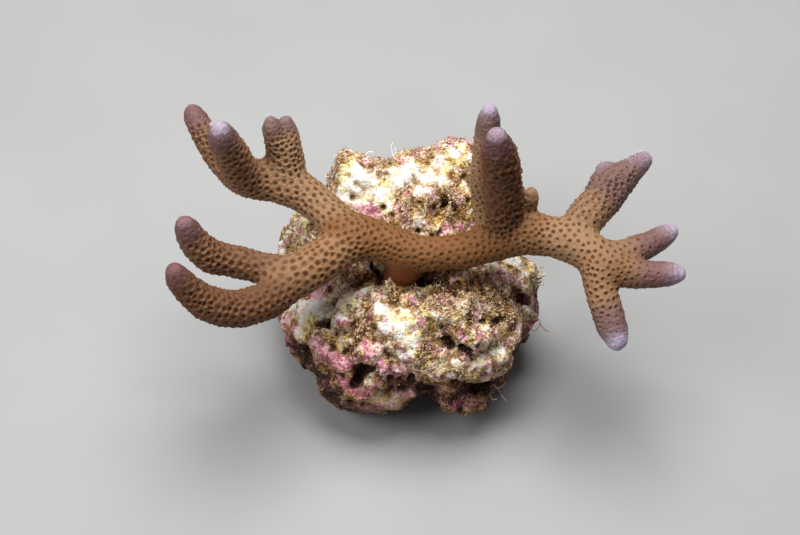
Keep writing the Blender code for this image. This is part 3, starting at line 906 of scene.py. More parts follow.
def coral_material(colours):
    """Tan tissue, greyer on the outer limbs, paler on the ridges between the pores and dark brown
    in them, orange brown towards the holdfast, and mauve, rose and then lilac towards the tips.
    The upright and front fingers are darkened to brown, partly painted shade on their sides away
    from the light; the holdfast is darkened with the trunk's painted shadow; the shelves' crests
    take the paler ridge colour, partly a painted highlight."""
    material, tree, shader, coordinates = new_material("coral_tissue")
    pit, web, tip, warm, rosy = (
        read_attribute(tree, name) for name in ("pit", "web", "tip", "warm", "rosy")
    )
    ashen = computed(tree, "MULTIPLY", read_attribute(tree, "ashen"), 0.9)
    shelf = computed(tree, "MULTIPLY", read_attribute(tree, "shelf"), 0.16)
    patches = noise_at(tree, coordinates, 6.0, 3.0)
    grain = noise_at(tree, coordinates, 0.33, 3.0, 0.65)
    flesh = mixed(tree, stepped(tree, patches, 0.35, 0.65), colours.tan, colours.tan_deep)
    flesh = mixed(tree, ashen, flesh, colours.ashen)
    flesh = mixed(tree, stepped(tree, web, 0.0, 0.9, 0.0, 0.6), flesh, colours.ridge)
    flesh = mixed(tree, stepped(tree, grain, 0.52, 0.72, 0.0, 0.4), flesh, colours.speck)
    flesh = mixed(tree, stepped(tree, warm, 0.0, 0.5, 0.0, 0.75), flesh, colours.warm)
    # Darkening to brown: brown tissue of the upright and front fingers, deepened as painted shade on
    # their sides away from the light.
    flesh = mixed(tree, computed(tree, "MULTIPLY", rosy, 0.9), flesh, colours.rosy)
    # Painted shadow: at full warmth the holdfast takes the foot colour, its orange-brown tissue
    # darkened for the trunk's shadow over it.
    flesh = mixed(tree, stepped(tree, warm, 0.45, 1.0), flesh, colours.foot)
    # The shelves' crests take the paler ridge colour: paler tissue and a painted highlight where the
    # light catches them.
    flesh = mixed(tree, shelf, flesh, colours.ridge)
    # The same darkening turns their young tissue dusky, partly painted shade.
    young = mixed(tree, rosy, colours.mauve, colours.dusky)
    young = mixed(tree, stepped(tree, grain, 0.5, 0.75, 0.0, 0.25), young, colours.lilac)
    flesh = mixed(tree, stepped(tree, tip, 0.0, 0.5, 0.0, 0.9), flesh, young)
    frayed = computed(tree, "MULTIPLY_ADD", grain, 0.4, computed(tree, "SUBTRACT", tip, 0.2))
    flesh = mixed(tree, stepped(tree, frayed, 0.68, 0.93), flesh, colours.rose)
    flesh = mixed(tree, stepped(tree, frayed, 0.86, 1.08), flesh, colours.lilac)
    flesh = mixed(tree, stepped(tree, pit, 0.0, 0.6, 0.0, 0.7), flesh, colours.cup)
    flesh = mixed(tree, stepped(tree, pit, 0.4, 1.0, 0.0, 0.9), flesh, colours.pore)
    tree.links.new(flesh, shader.inputs["Base Color"])
    tree.links.new(stepped(tree, grain, 0.3, 0.7, 0.55, 0.7), shader.inputs["Roughness"])
    shader.inputs["Specular IOR Level"].default_value = 0.22
    raise_bumps(tree, shader, grain, 0.5, 0.15)
    return material


def rock_material(colours):
    """Crusty rock. Its tone, from the dark of its holes to bright bare stone, is noise that the
    patches, the hollows and how low it lies lift or lower: painted shade in hollows, holes,
    overhung places, the trunk's shadow and towards the bottom, and painted light on crests and on
    some pale patches. Pink, crimson, yellow, rust and olive crusts, frayed by noise, have colours
    of their own for each tone."""
    material, tree, shader, coordinates = new_material("reef_rock")
    fine = noise_at(tree, coordinates, 0.55, 4.0, 0.6)
    coarse = noise_at(tree, coordinates, 1.7, 3.0, 0.6)
    fray = noise_at(tree, coordinates, 0.9, 4.0, 0.7)
    wide = noise_at(tree, coordinates, 3.2, 2.0, 0.5)
    cells = add_node(tree, "ShaderNodeTexVoronoi", {}, {
        "Vector": coordinates, "Scale": 1.0 / (0.5 * MM), "Randomness": 1.0,
    })

    def shifted(value, other, weight):
        return computed(tree, "MULTIPLY_ADD", other, weight, value)

    value = shifted(shifted(-1.3, fine, 1.9), coarse, 1.6)
    low = read_attribute(tree, "low")
    calm = shifted(shifted(1.0, read_attribute(tree, "pale"), -0.6), low, -0.4)
    value = computed(tree, "MULTIPLY", value, calm)
    grit = add_node(tree, "ShaderNodeSeparateColor", {}, {"Color": cells.outputs["Color"]})
    value = shifted(value, grit.outputs["Red"], 0.22)
    # Painted light in the tone: the hollow value darkens hollows and lightens crests, the low value
    # darkens towards the bottom, the dark value darkens the bigger holes, overhung places and the
    # trunk's shadow, and the pale value lifts pale stone and also paints light on places in shade.
    levels = (
        ("pale", 0.68), ("pink", 0.12), ("yellow", 0.16), ("rust", -0.15), ("turf", -0.2),
        ("hollow", -0.4), ("low", -0.26), ("dark", -0.38),
    )
    for name, weight in levels:
        value = shifted(value, read_attribute(tree, name), weight)
    stones = (colours.deep, colours.bark, colours.brown, colours.sand, colours.cream, colours.white)
    stone = ramp(tree, value, stones)
    drift = stepped(tree, shifted(wide, low, 0.07), 0.52, 0.62, 0.0, 0.7)
    tints = (colours.plum, colours.mauve, colours.dusk, colours.blush, colours.white)
    stone = mixed(tree, drift, stone, ramp(tree, value, tints))
    drift = stepped(tree, noise_at(tree, coordinates, 2.6, 2.0, 0.5), 0.54, 0.64, 0.0, 0.7)
    tints = (colours.deep, colours.ochre_dark, colours.ochre, colours.yellow, colours.lemon)
    stone = mixed(tree, drift, stone, ramp(tree, value, tints))
    dyes = {
        "olive": (colours.deep, colours.olive_dark, colours.olive, colours.moss, colours.cream),
        "rust": (
            colours.deep, colours.rust_dark, colours.rust, colours.rust_light, colours.yellow,
            colours.lemon,
        ),
        "yellow": (colours.deep, colours.ochre_dark, colours.ochre, colours.yellow, colours.lemon),
        "pink": (colours.plum, colours.mauve, colours.pink, colours.rose, colours.blush),
        "crimson": (colours.plum, colours.crimson, colours.crimson_light, colours.rose),
    }
    strengths = {"olive": 0.75, "rust": 0.85, "yellow": 0.8, "pink": 0.95, "crimson": 0.9}
    for name, dye in dyes.items():
        share = shifted(computed(tree, "SUBTRACT", read_attribute(tree, name), 1.15), fray, 2.05)
        reach = stepped(tree, share, 0.25, 0.6, 0.0, strengths[name])
        stone = mixed(tree, reach, stone, ramp(tree, value, dye))
    tree.links.new(stone, shader.inputs["Base Color"])
    shader.inputs["Roughness"].default_value = 0.75
    shader.inputs["Specular IOR Level"].default_value = 0.35
    raise_bumps(tree, shader, shifted(fine, cells.outputs["Distance"], -0.5), 1.0, 0.4)
    return material


def floor_material(colour):
    """A plain pale floor with a faint wide mottle."""
    material, tree, shader, coordinates = new_material("pale_floor")
    mottle = stepped(tree, noise_at(tree, coordinates, 40.0, 2.0), 0.3, 0.7)
    shade = tuple(0.96 * part for part in colour)
    tree.links.new(mixed(tree, mottle, colour, shade), shader.inputs["Base Color"])
    shader.inputs["Roughness"].default_value = 0.7
    return material


def colour(name, description, default):
    """A colour that a user can change, as linear red, green and blue."""
    return FloatVectorProperty(
        name=name, description=description, default=default, subtype="COLOR", min=0.0, max=1.0
    )


def length(name, description, millimetres):
    """A length that a user can change."""
    return FloatProperty(
        name=name, description=description, default=millimetres * MM, unit="LENGTH", min=0.0
    )


class CoralSkinSettings(bpy.types.PropertyGroup):
    mesh_step: length("Mesh step", "Size of the skin's first quads, each split in 16", 0.66)
    fork_blend: length("Fork blend", "How softly the limbs grow together", 0.7)
    pore_depth: length("Pore depth", "How deep a pore is sunk", 0.24)
    bowl_depth: length("Bowl depth", "How deep the bowl round a pore is where bowls meet", 0.14)
    rim_height: length("Rim height", "How far the tissue round a pore stands up", 0.01)
    bare_tip: length("Bare tip", "Length of a finger's tip that has no pores", 1.6)
    unevenness: length("Unevenness", "How far the limbs swell and shrink", 0.18)
    grit: length("Grit", "Height of the fine grains of the tissue", 0.06)
    shelf_height: length("Shelf height", "How far the shelves between rows of pores stand out", 0.27)
    seed: IntProperty(name="Seed", description="Seed of the pores' places", default=7)


class CoralColours(bpy.types.PropertyGroup):
    tan: colour("Tan", "Tissue of the limbs", (0.3, 0.145, 0.05))
    tan_deep: colour("Deep tan", "Darker patches of the tissue", (0.25, 0.11, 0.034))
    ashen: colour("Ashen", "Greyer tissue of the outer limbs", (0.33, 0.2, 0.105))
    warm: colour("Warm", "Orange-brown tissue of the trunk", (0.175, 0.066, 0.011))
    ridge: colour("Ridge", "Tissue between the pores", (0.4, 0.25, 0.145))
    speck: colour("Speck", "Pale grains of the tissue", (0.5, 0.37, 0.3))
    cup: colour("Cup", "Edge of a pore", (0.18, 0.072, 0.023))
    pore: colour("Pore", "Polyps sunk in the pores", (0.08, 0.026, 0.009))
    # Brown tissue of the upright and front fingers, darkened as painted shade on their sides away from
    # the light.
    rosy: colour("Rosy", "Brown tissue of the upright fingers", (0.09, 0.027, 0.013))
    mauve: colour("Mauve", "Young tissue near a tip", (0.168, 0.1, 0.086))
    dusky: colour("Dusky", "Young tissue of the upright fingers", (0.15, 0.058, 0.062))
    rose: colour("Rose", "Tissue under a tip's lilac", (0.235, 0.15, 0.165))
    lilac: colour("Lilac", "Youngest tissue of a tip", (0.42, 0.355, 0.47))
    white: colour("White", "Frayed ends of tips", (0.8, 0.78, 0.84))
    # The holdfast's tissue, darkened with the painted shadow of the trunk over it.
    foot: colour("Foot", "Smooth tissue of the holdfast", (0.14, 0.037, 0.009))


class RockSettings(bpy.types.PropertyGroup):
    mesh_step: length("Mesh step", "Size of the rock's quads", 0.445)
    coral_gap: length("Coral gap", "Room between the rock and the limbs over it", 0.5)
    # Painted shade: how far below the smoothed surface a hollow is painted darkest.
    hollow_shade_reach: length("Hollow reach", "How deep a hollow is when it is darkest", 0.7)
    outline_margin: length("Outline margin", "How far the bare lobes stay inside the outline", 0.3)
    seed: IntProperty(name="Seed", description="Seed of the knobs and small holes", default=11)


class RockColours(bpy.types.PropertyGroup):
    # The darkest tone, mostly reached where shade is painted into holes, hollows and overhung places.
    deep: colour("Deep", "Bottoms of holes", (0.03, 0.012, 0.005))
    bark: colour("Bark", "Darkest turf", (0.12, 0.052, 0.014))
    brown: colour("Brown", "Brown turf", (0.29, 0.16, 0.065))
    sand: colour("Sand", "Common grains", (0.47, 0.31, 0.17))
    cream: colour("Cream", "Worn stone", (0.71, 0.55, 0.37))
    white: colour("White", "Bare bright stone", (0.95, 0.92, 0.86))
    # Each crust's darker and lighter colours follow the tone, which carries painted shade and light as
    # well as the crust's own colour.
    rust_dark: colour("Dark rust", "Brown algae in shade", (0.1, 0.035, 0.006))
    rust: colour("Rust", "Brown algae", (0.3, 0.13, 0.025))
    rust_light: colour("Light rust", "Brown algae on top", (0.54, 0.29, 0.09))
    olive_dark: colour("Dark olive", "Green turf in shade", (0.13, 0.085, 0.04))
    olive: colour("Olive", "Green-grey turf", (0.33, 0.26, 0.12))
    moss: colour("Moss", "Grey turf", (0.56, 0.49, 0.34))
    ochre_dark: colour("Dark ochre", "Yellow crust in shade", (0.14, 0.065, 0.008))
    ochre: colour("Ochre", "Dark yellow crust", (0.42, 0.25, 0.06))
    yellow: colour("Yellow", "Yellow crust", (0.7, 0.5, 0.14))
    lemon: colour("Lemon", "Bright yellow crust", (0.92, 0.81, 0.4))
    plum: colour("Plum", "Coralline crust in shade", (0.08, 0.02, 0.022))
    mauve: colour("Mauve", "Dull coralline crust", (0.26, 0.09, 0.1))
    dusk: colour("Dusk", "Stone tinged with coralline crust", (0.5, 0.25, 0.25))
    pink: colour("Pink", "Coralline crust", (0.41, 0.12, 0.15))
    rose: colour("Rose", "Pale coralline crust", (0.67, 0.28, 0.33))
    blush: colour("Blush", "Palest coralline crust", (0.85, 0.5, 0.54))
    crimson: colour("Crimson", "Dark coralline crust", (0.2, 0.04, 0.055))
    crimson_light: colour("Light crimson", "Red coralline crust", (0.4, 0.12, 0.13))


class StageSettings(bpy.types.PropertyGroup):
    floor: colour("Floor", "The pale floor", (0.37, 0.37, 0.365))
    key_power: FloatProperty(
        name="Key light", description="Overhead softbox", default=3.1, unit="POWER"
    )
    fill_power: FloatProperty(
        name="Fill light", description="Softbox at the side", default=1.3, unit="POWER"
    )
    sky: FloatProperty(name="Sky", description="Strength of the even light", default=0.12)


def point_areas(points, quads):
    """A quarter of the area of the quads round each point, all together."""
    share = np.linalg.norm(crossed_diagonals(points, quads), axis=1) / 8.0
    return sum(np.bincount(quads[:, corner], share, len(points)) for corner in range(4))


def settle_labels(quads, labels, rounds=5):
    """Gives each quad the label that most of the quads beside it have."""
    pairs = np.sort(edges_of(quads).reshape(-1, 2), axis=1)
    keys = pairs[:, 0] * (quads.max() + 1) + pairs[:, 1]
    order = np.argsort(keys, kind="stable")
    face = order // 4
    shared = np.flatnonzero(keys[order][1:] == keys[order][:-1])
    first, second = face[shared], face[shared + 1]
    for _ in range(rounds):
        votes = np.zeros((len(quads), len(NODES)))
        votes[np.arange(len(quads)), labels] = 1.5
        np.add.at(votes, (first, labels[second]), 1.0)
        np.add.at(votes, (second, labels[first]), 1.0)
        labels = votes.argmax(1)
    return labels


def grow_skin(settings):
    """The colony's fine skin: points, quads, the limb of each quad, and the pores' centres."""
    step, blend = settings.mesh_step / MM, settings.fork_blend / MM
    corners = np.array([limb_box(limb) for limb in LIMBS])
    low, high = corners[:, 0].min(0) - 3 * step, corners[:, 1].max(0) + 3 * step
    shape = np.ceil((high - low) / step).astype(int)
    distance = colony(grid_places(low, shape, step), blend)[0].reshape(shape)
    points, quads = surface_net(distance, low, step)
    for _ in range(3):
        points = onto_skin(relax(points, quads, 2), blend, 1)
    labels = settle_labels(quads, colony(points[quads].mean(1), blend)[5])
    points, quads = split_quads(points, quads)
    points = onto_skin(points, blend, 1)
    pitch = colony(points, blend)[4][:, 0]
    pores = scatter_pores(points, point_areas(points, quads), pitch, blend, settings.seed)
    points, quads = split_quads(points, quads)
    return onto_skin(points, blend, 1), quads, np.tile(labels, 16), pores


def ring_bump(gap, middle, width):
    """A round ridge: the bell exp(-u^2) with u the gap less its middle, over its width."""
    return np.exp(-(((gap - middle) / width) ** 2))


def pore_relief(points, normals, pores, settings):
    """How far each point stands out, and its colour shares. A pore is a cup that falls smoothly
    from 1.35 to 0.25 of its radius, in a shallow bowl that ends where the next pore's begins,
    with a low rim, and a lip on the side away from the tip. Shelves follow one another from the
    tip down, bent by noise."""
    blend = settings.fork_blend / MM
    _, _, tipward, to_tip, habit, owner = colony(points, blend)
    _, _, _, pore_to_tip, pore_habit, _ = colony(pores, blend)
    numbers, gaps = np.zeros(len(points), int), np.zeros((len(points), 2))
    for node in range(len(NODES)):
        own = np.flatnonzero(owner == node)
        low, high = points[own].min(0) - 3.0, points[own].max(0) + 3.0
        near = np.flatnonzero(((pores > low) & (pores < high)).all(1))
        found, gaps[own] = nearest_two(points[own], pores[near])
        numbers[own] = near[found]
    rng = np.random.default_rng(settings.seed + 1)
    bare = settings.bare_tip / MM
    fade = smoothstep(bare, pore_habit[:, BARE], pore_to_tip)
    force = rng.uniform(0.75, 1.1, len(pores)) * (0.15 + 0.85 * fade) * (pore_to_tip > bare)
    force *= smoothstep(0.3, 0.6, pore_habit[:, WIDTH])
    radius = 0.5 * pore_habit[:, WIDTH] * rng.uniform(0.86, 1.14, len(pores))
    radius *= 0.65 + 0.35 * fade
    gap, force, radius = gaps[:, 0], force[numbers], np.maximum(radius[numbers], 0.2)
    share = 2.0 * gap / np.maximum(gap + gaps[:, 1], 1e-6)
    offset = points - pores[numbers]
    offset -= (offset * normals).sum(1)[:, None] * normals
    forward = unit(tipward - (tipward * normals).sum(1)[:, None] * normals)
    below = 0.5 - 0.5 * (unit(offset) * forward).sum(1)
    comb, lip, pale, reach, warm, rosy, ashen, fading = habit[:, WIDTH + 1 :].T
    fade_here = smoothstep(0.25 * fading, fading, to_tip)
    depth = settings.pore_depth / MM * force
    height = -depth * (1 - smoothstep(0.25 * radius, 1.35 * radius, gap))
    height -= settings.bowl_depth / MM * comb * force * (1 - smoothstep(0.25, 1.0, share))
    height += settings.rim_height / MM * force * ring_bump(gap, 1.5 * radius, 0.4 * radius)
    height += lip * force * below**2 * ring_bump(gap, 1.35 * radius, 0.55 * radius)
    wave = to_tip / SHELF_PITCH + 0.75 * smooth_noise(points, 2.6, SHELF_SEED)
    wave -= np.floor(wave)
    shelf = smoothstep(0.05, 0.32, wave) * (1 - smoothstep(0.38, 1.0, wave))
    height += settings.shelf_height / MM * smoothstep(0.15, 0.6, lip) * shelf * fade_here
    height += settings.unevenness / MM * smooth_noise(points, 3.6, SWELL_SEED)
    for size, seed in zip((0.75, 0.42), GRIT_SEEDS):
        height += settings.grit / MM * smooth_noise(points, size, seed)
    values = {
        "pit": force * (1 - 0.15 * comb) * (1 - smoothstep(0.35 * radius, 1.35 * radius, gap)),
        "web": smoothstep(0.5, 1.0, share) * (0.35 + 0.65 * comb),
        "tip": pale * (1 - smoothstep(0.0, 1.0, to_tip / reach)),
        "warm": warm,
        "rosy": rosy,
        "ashen": ashen,
        "shelf": smoothstep(0.25, 0.6, lip) * shelf * fade_here,
    }
    return height, values


def split_at_forks(points, quads, labels, values, normals, material):
    """One closed piece for each limb: its quads and a fan over each cut."""
    for number, node in enumerate(NODES):
        used, local = np.unique(quads[labels == number], return_inverse=True)
        own_quads = local.reshape(-1, 4)
        own_points = points[used]
        added, band, fans = cap_cuts(own_points, normals[used], boundary_of(own_quads, len(used)))
        spare = np.zeros(len(added))
        own_values = {key: np.append(value[used], spare) for key, value in values.items()}
        directions = np.vstack((normals[used], np.tile((0.0, 0.0, 1.0), (len(added), 1))))
        blocks = (np.vstack((own_quads, band)), fans)
        own_points = np.vstack((own_points, added))
        mesh = new_mesh(node + "_skin", own_points, blocks, own_values, directions)
        new_piece(node + "_skin", mesh, material, node)


class CORAL_OT_skin(bpy.types.Operator):
    """Grows the pored skin of the colony and splits it into its limbs"""

    bl_idname = "coral.skin"
    bl_label = "Coral Skin"

    def execute(self, context):
        settings = context.scene.coral_skin
        points, quads, labels, pores = grow_skin(settings)
        normals = point_normals(points, quads)
        height, values = pore_relief(points, normals, pores, settings)
        points = points + height[:, None] * normals
        normals = point_normals(points, quads)
        colours = context.scene.coral_colours
        split_at_forks(points, quads, labels, values, normals, coral_material(colours))
        facing = (normals * toward_eye(points)).sum(1)
        frayed = pixel_share(points, FRAYS) * (facing > -0.3) * (facing < 0.6)
        spots, ways, _, rng = scattered(points, normals, frayed, FRAY_HAIRS, settings.seed + 2)
        lengths, shade = rng.uniform(0.2, 0.6, len(spots)), rng.uniform(0.3, 1.0, len(spots))
        mesh = hair_mesh("coral_frays", spots, ways, lengths, FRAY_RADIUS, shade, rng)
        tones = (colours.lilac, colours.white)
        new_piece("coral_frays", mesh, growth_material("coral_frays", tones), None)
        return {"FINISHED"}


def lobes(places):
    """Distance to the clump of lobes: for each ellipsoid k0 (k0 - 1) / k1, with k0 the length of
    the place over the half sizes and k1 that over their squares, joined by a smooth minimum."""
    total = np.zeros(len(places))
    for lobe in ROCK_LOBES:
        offset = (places - lobe[:3]) / lobe[3:]
        first = np.linalg.norm(offset, axis=1)
        second = np.maximum(np.linalg.norm(offset / lobe[3:], axis=1), 1e-6)
        total += np.exp(-first * (first - 1.0) / second / ROCK_BLEND)
    return -ROCK_BLEND * np.log(np.maximum(total, 1e-30))


def picture_ray(pixel):
    """The camera's place and the direction in which it sees a pixel of the photograph."""
    look = np.array((0.0, math.cos(CAMERA_ELEVATION), -math.sin(CAMERA_ELEVATION)))
    right = (pixel[0] - PICTURE_MIDDLE[0]) / CAMERA_FOCAL_PIXELS
    rise = (PICTURE_MIDDLE[1] - pixel[1]) / CAMERA_FOCAL_PIXELS
    ray = look + rise * PICTURE_UP + np.array((right, 0.0, 0.0))
    return CAMERA_TARGET - CAMERA_DISTANCE * look, ray


def seen_at(places):
    """The pixels of the photograph at which places are seen, and how far ahead they are."""
    eye, ahead = picture_ray(PICTURE_MIDDLE)
    offset = places - eye
    far = offset @ ahead
    seen = np.column_stack((offset[:, 0] / far, -(offset @ PICTURE_UP) / far)) * CAMERA_FOCAL_PIXELS
    return seen + PICTURE_MIDDLE, far


def toward_eye(place):
    """The direction from a place to the camera."""
    return unit(picture_ray(PICTURE_MIDDLE)[0] - place)


def seen_on(field, low, step, pixels):
    """Where the camera's rays through the pixels first meet the inside of a field on a grid."""
    places = []
    ways = np.arange(0.75 * CAMERA_DISTANCE, 1.2 * CAMERA_DISTANCE, 0.5 * step)
    for pixel in pixels:
        eye, ray = picture_ray(pixel)
        along = eye + ways[:, None] * ray
        index = np.rint((along - low) / step).astype(int)
        held = ((index >= 0) & (index < field.shape)).all(1)
        value = np.full(len(along), 1.0)
        value[held] = field[tuple(index[held].T)]
        hit = np.flatnonzero(value < 0)
        places.append(along[hit[0]] if len(hit) else np.full(3, np.nan))
    return np.array(places)


def beyond_outline(places):
    """How far in millimetres each place lies outside the rock's outline as the camera sees it,
    less than 0 inside: the distance to the nearest side of the outline, with the sign that the
    number of sides crossed on the way left gives."""
    seen, far = seen_at(places)
    least = np.full(len(places), np.inf)
    inside = np.zeros(len(places), bool)
    corners = np.array(ROCK_OUTLINE, float)
    for start, end in zip(corners, np.roll(corners, -1, axis=0)):
        run = end - start
        share = np.clip((seen - start) @ run / (run @ run), 0.0, 1.0)
        least = np.minimum(least, np.linalg.norm(seen - start - share[:, None] * run, axis=1))
        crosses = (start[1] <= seen[:, 1]) != (end[1] <= seen[:, 1])
        at = start[0] + (seen[:, 1] - start[1]) * run[0] / (run[1] if run[1] else 1.0)
        inside ^= crosses & (at < seen[:, 0])
    return np.where(inside, -least, least) * far / CAMERA_FOCAL_PIXELS


def carve(field, low, step, centre, radii, hollow):
    """Takes an uneven ball out of the solid of a field, or adds one, in the block of the grid
    round it: the smooth maximum of the field and minus the ball's distance, or the smooth minimum
    of both. The distance is the least radius times the length over the radii, less 1, and
    noise."""
    reach = 1.5 * max(radii) + 2.0 * step
    first = np.maximum(np.floor((centre - reach - low) / step).astype(int), 0)
    last = np.minimum(np.ceil((centre + reach - low) / step).astype(int) + 1, field.shape)
    if (first >= last).any():
        return
    block = tuple(slice(a, b) for a, b in zip(first, last))
    places = grid_places(low + first * step, last - first, step)
    gap = np.linalg.norm((places - centre) / radii, axis=1) - 1.0
    gap += 0.55 * smooth_noise(places, 0.9 * max(radii), CARVE_SEED)
    gap = (gap * min(radii)).reshape(last - first).astype(field.dtype)
    soft, sign = (0.25, 1.0) if hollow else (0.9, -1.0)
    field[block] = sign * soft * np.logaddexp(sign * field[block] / soft, -gap / soft)


def rock_field(settings, blend):
    """The rock on a grid: the lobes within the photograph's outline less lumps at four scales,
    with knobs and holes, kept clear of the limbs and cut off at the floor."""
    step = settings.mesh_step / MM
    low = (ROCK_LOBES[:, :3] - ROCK_LOBES[:, 3:]).min(0) - 3.0
    low[2] = -2.0 * step
    high = (ROCK_LOBES[:, :3] + ROCK_LOBES[:, 3:]).max(0) + 5.0
    shape = np.ceil((high - low) / step).astype(int)
    places = grid_places(low, shape, step)
    field = lobes(places)
    band = np.flatnonzero(np.abs(field) < 7.0)
    outside = beyond_outline(places[band]) + settings.outline_margin / MM
    field[band] = OUTLINE_BLEND * np.logaddexp(field[band] / OUTLINE_BLEND, outside / OUTLINE_BLEND)
    band = band[np.abs(field[band]) < 5.0]
    for seed, (size, height) in enumerate(ROCK_LUMPS):
        bent = places[band] + 0.35 * size * np.column_stack([
            smooth_noise(places[band], 1.3 * size, BEND_SEED + 3 * seed + axis) for axis in range(3)
        ])
        billow = 0.5 - 2.0 * np.abs(smooth_noise(bent, size, LUMP_SEED + seed))
        field[band] -= height * 0.5 * billow
    field = field.reshape(shape)
    rng = np.random.default_rng(settings.seed)
    for features, hollow in ((BUMPS, False), (HOLES, True)):
        for centre, feature in zip(seen_on(field, low, step, features), features):
            if not np.isnan(centre).any():
                radii = feature[2] * rng.uniform(0.85, 1.2, 3)
                depths = (0.0, 0.7, 1.4) if hollow else (0.55,)
                for depth in depths:
                    place = centre - depth * feature[2] * toward_eye(centre)
                    carve(field, low, step, place, radii * (1.0 - 0.2 * depth * hollow), hollow)
    skin = np.argwhere(np.abs(field) < 0.5 * step) * step + low
    for centre in skin[rng.choice(len(skin), ROCK_KNOBS)]:
        radii = rng.uniform(0.35, 0.8) * rng.uniform(0.75, 1.3, 3)
        carve(field, low, step, centre, radii, False)
    for centre in skin[rng.choice(len(skin), ROCK_PINHOLES)]:
        radii = rng.uniform(0.35, 0.7) * rng.uniform(0.6, 1.4, 3)
        carve(field, low, step, centre, radii, True)
    flat = field.reshape(-1)
    near = np.flatnonzero((np.abs(flat) < 3.0) & (places[:, 2] > 24.0))
    distance, *_, owner = colony(places[near], blend)
    clear = np.maximum(flat[near], settings.coral_gap / MM - distance)
    flat[near] = np.where(owner == NODES.index("holdfast"), flat[near], clear)
    flat[:] = np.maximum(flat, -places[:, 2])
    return flat.reshape(shape), low, step


def largest_shell(points, quads):
    """The points and quads of the largest connected surface."""
    label = joined_labels(quads, len(points))
    keep = label[quads[:, 0]] == np.bincount(label).argmax()
    used, local = np.unique(quads[keep], return_inverse=True)
    return points[used], local.reshape(-1, 4)


def stain(points, places, sizes, seed):
    """How strongly patches of a crust cover each point: 1 in a patch and 0 outside it, with an
    edge frayed by noise."""
    fray = 1.0 + 0.45 * smooth_noise(points, 1.1, seed)
    share = np.zeros(len(points))
    for place, size in zip(places, sizes):
        gap = np.linalg.norm(points - place, axis=1) / (size * fray)
        share = np.maximum(share, 1.0 - smoothstep(0.6, 1.25, gap))
    return share


PINHOLE_SIZE = 1.1  # mm, the radius up to which a hole is shaded by its shape alone
STAINS = {
    "pink": PINK, "crimson": CRIMSON, "pale": PALE_AND_PAINTED_LIGHT, "yellow": YELLOW, "rust": RUST, "olive": OLIVE,
    # The dark patches are painted shade: in the bigger holes, on the listed shaded patches and, by
    # chance, on the unseen sides.
    "dark": tuple(hole for hole in HOLES if hole[2] > PINHOLE_SIZE) + PAINTED_SHADE,
}
# How many more patches of each crust lie on the sides that the photograph doesn't show.
UNSEEN_PATCHES = {
    "pink": 46, "crimson": 10, "pale": 60, "yellow": 22, "rust": 56, "olive": 40, "dark": 30,
}


def rock_stains(points, normals, field, low, step, seed):
    """The patches that the photograph shows where it shows them, and more, by chance, on the
    sides away from the camera."""
    rng = np.random.default_rng(seed)
    facing = (normals * toward_eye(points)).sum(1)
    unseen = np.flatnonzero((facing < -0.1) & (points[:, 2] > 0.5))
    values = {}
    for number, (name, patches) in enumerate(STAINS.items()):
        patches = np.array(patches)
        places = seen_on(field, low, step, patches[:, :2])
        found = ~np.isnan(places).any(1)
        count = UNSEEN_PATCHES[name]
        places = np.vstack((places[found], points[rng.choice(unseen, count)]))
        sizes = np.append(patches[found, 2], rng.uniform(0.8, 2.6, count))
        values[name] = stain(points, places, sizes, CRUST_SEED + number)
    return values


ICOSAHEDRON = np.array((
    (-1, 1.618, 0), (1, 1.618, 0), (-1, -1.618, 0), (1, -1.618, 0), (0, -1, 1.618), (0, 1, 1.618),
    (0, -1, -1.618), (0, 1, -1.618), (1.618, 0, -1), (1.618, 0, 1), (-1.618, 0, -1), (-1.618, 0, 1),
)) / 1.902
ICOSAHEDRON_FACES = np.array((
    (0, 11, 5), (0, 5, 1), (0, 1, 7), (0, 7, 10), (0, 10, 11), (1, 5, 9), (5, 11, 4), (11, 10, 2),
    (10, 7, 6), (7, 1, 8), (3, 9, 4), (3, 4, 2), (3, 2, 6), (3, 6, 8), (3, 8, 9), (4, 9, 5),
    (2, 4, 11), (6, 2, 10), (8, 6, 7), (9, 8, 1),
))


def scattered(points, normals, weights, count, seed):
    """Points picked at random by weight, with their normals, and a generator to go on with."""
    rng = np.random.default_rng(seed)
    chosen = rng.choice(len(points), count, replace=False, p=weights / weights.sum())
    return points[chosen], normals[chosen], chosen, rng


def grain_mesh(name, points, normals, radius, shade, rng):
    """Squashed icosahedra, each turned at random about its normal and sunk by a third."""
    count = len(points)
    sizes = radius[:, None] * rng.uniform(0.7, 1.3, (count, 3))
    side = unit(np.cross(normals, rng.normal(size=(count, 3))))
    axes = np.stack((side, np.cross(normals, side), normals), axis=1)
    corners = (ICOSAHEDRON[None] * sizes[:, None]) @ axes
    centres = points + 0.35 * radius[:, None] * normals
    places = (centres[:, None] + corners).reshape(-1, 3)
    faces = (ICOSAHEDRON_FACES + 12 * np.arange(count)[:, None, None]).reshape(-1, 3)
    return new_mesh(name, places, (faces,), {"shade": np.repeat(shade, 12)})


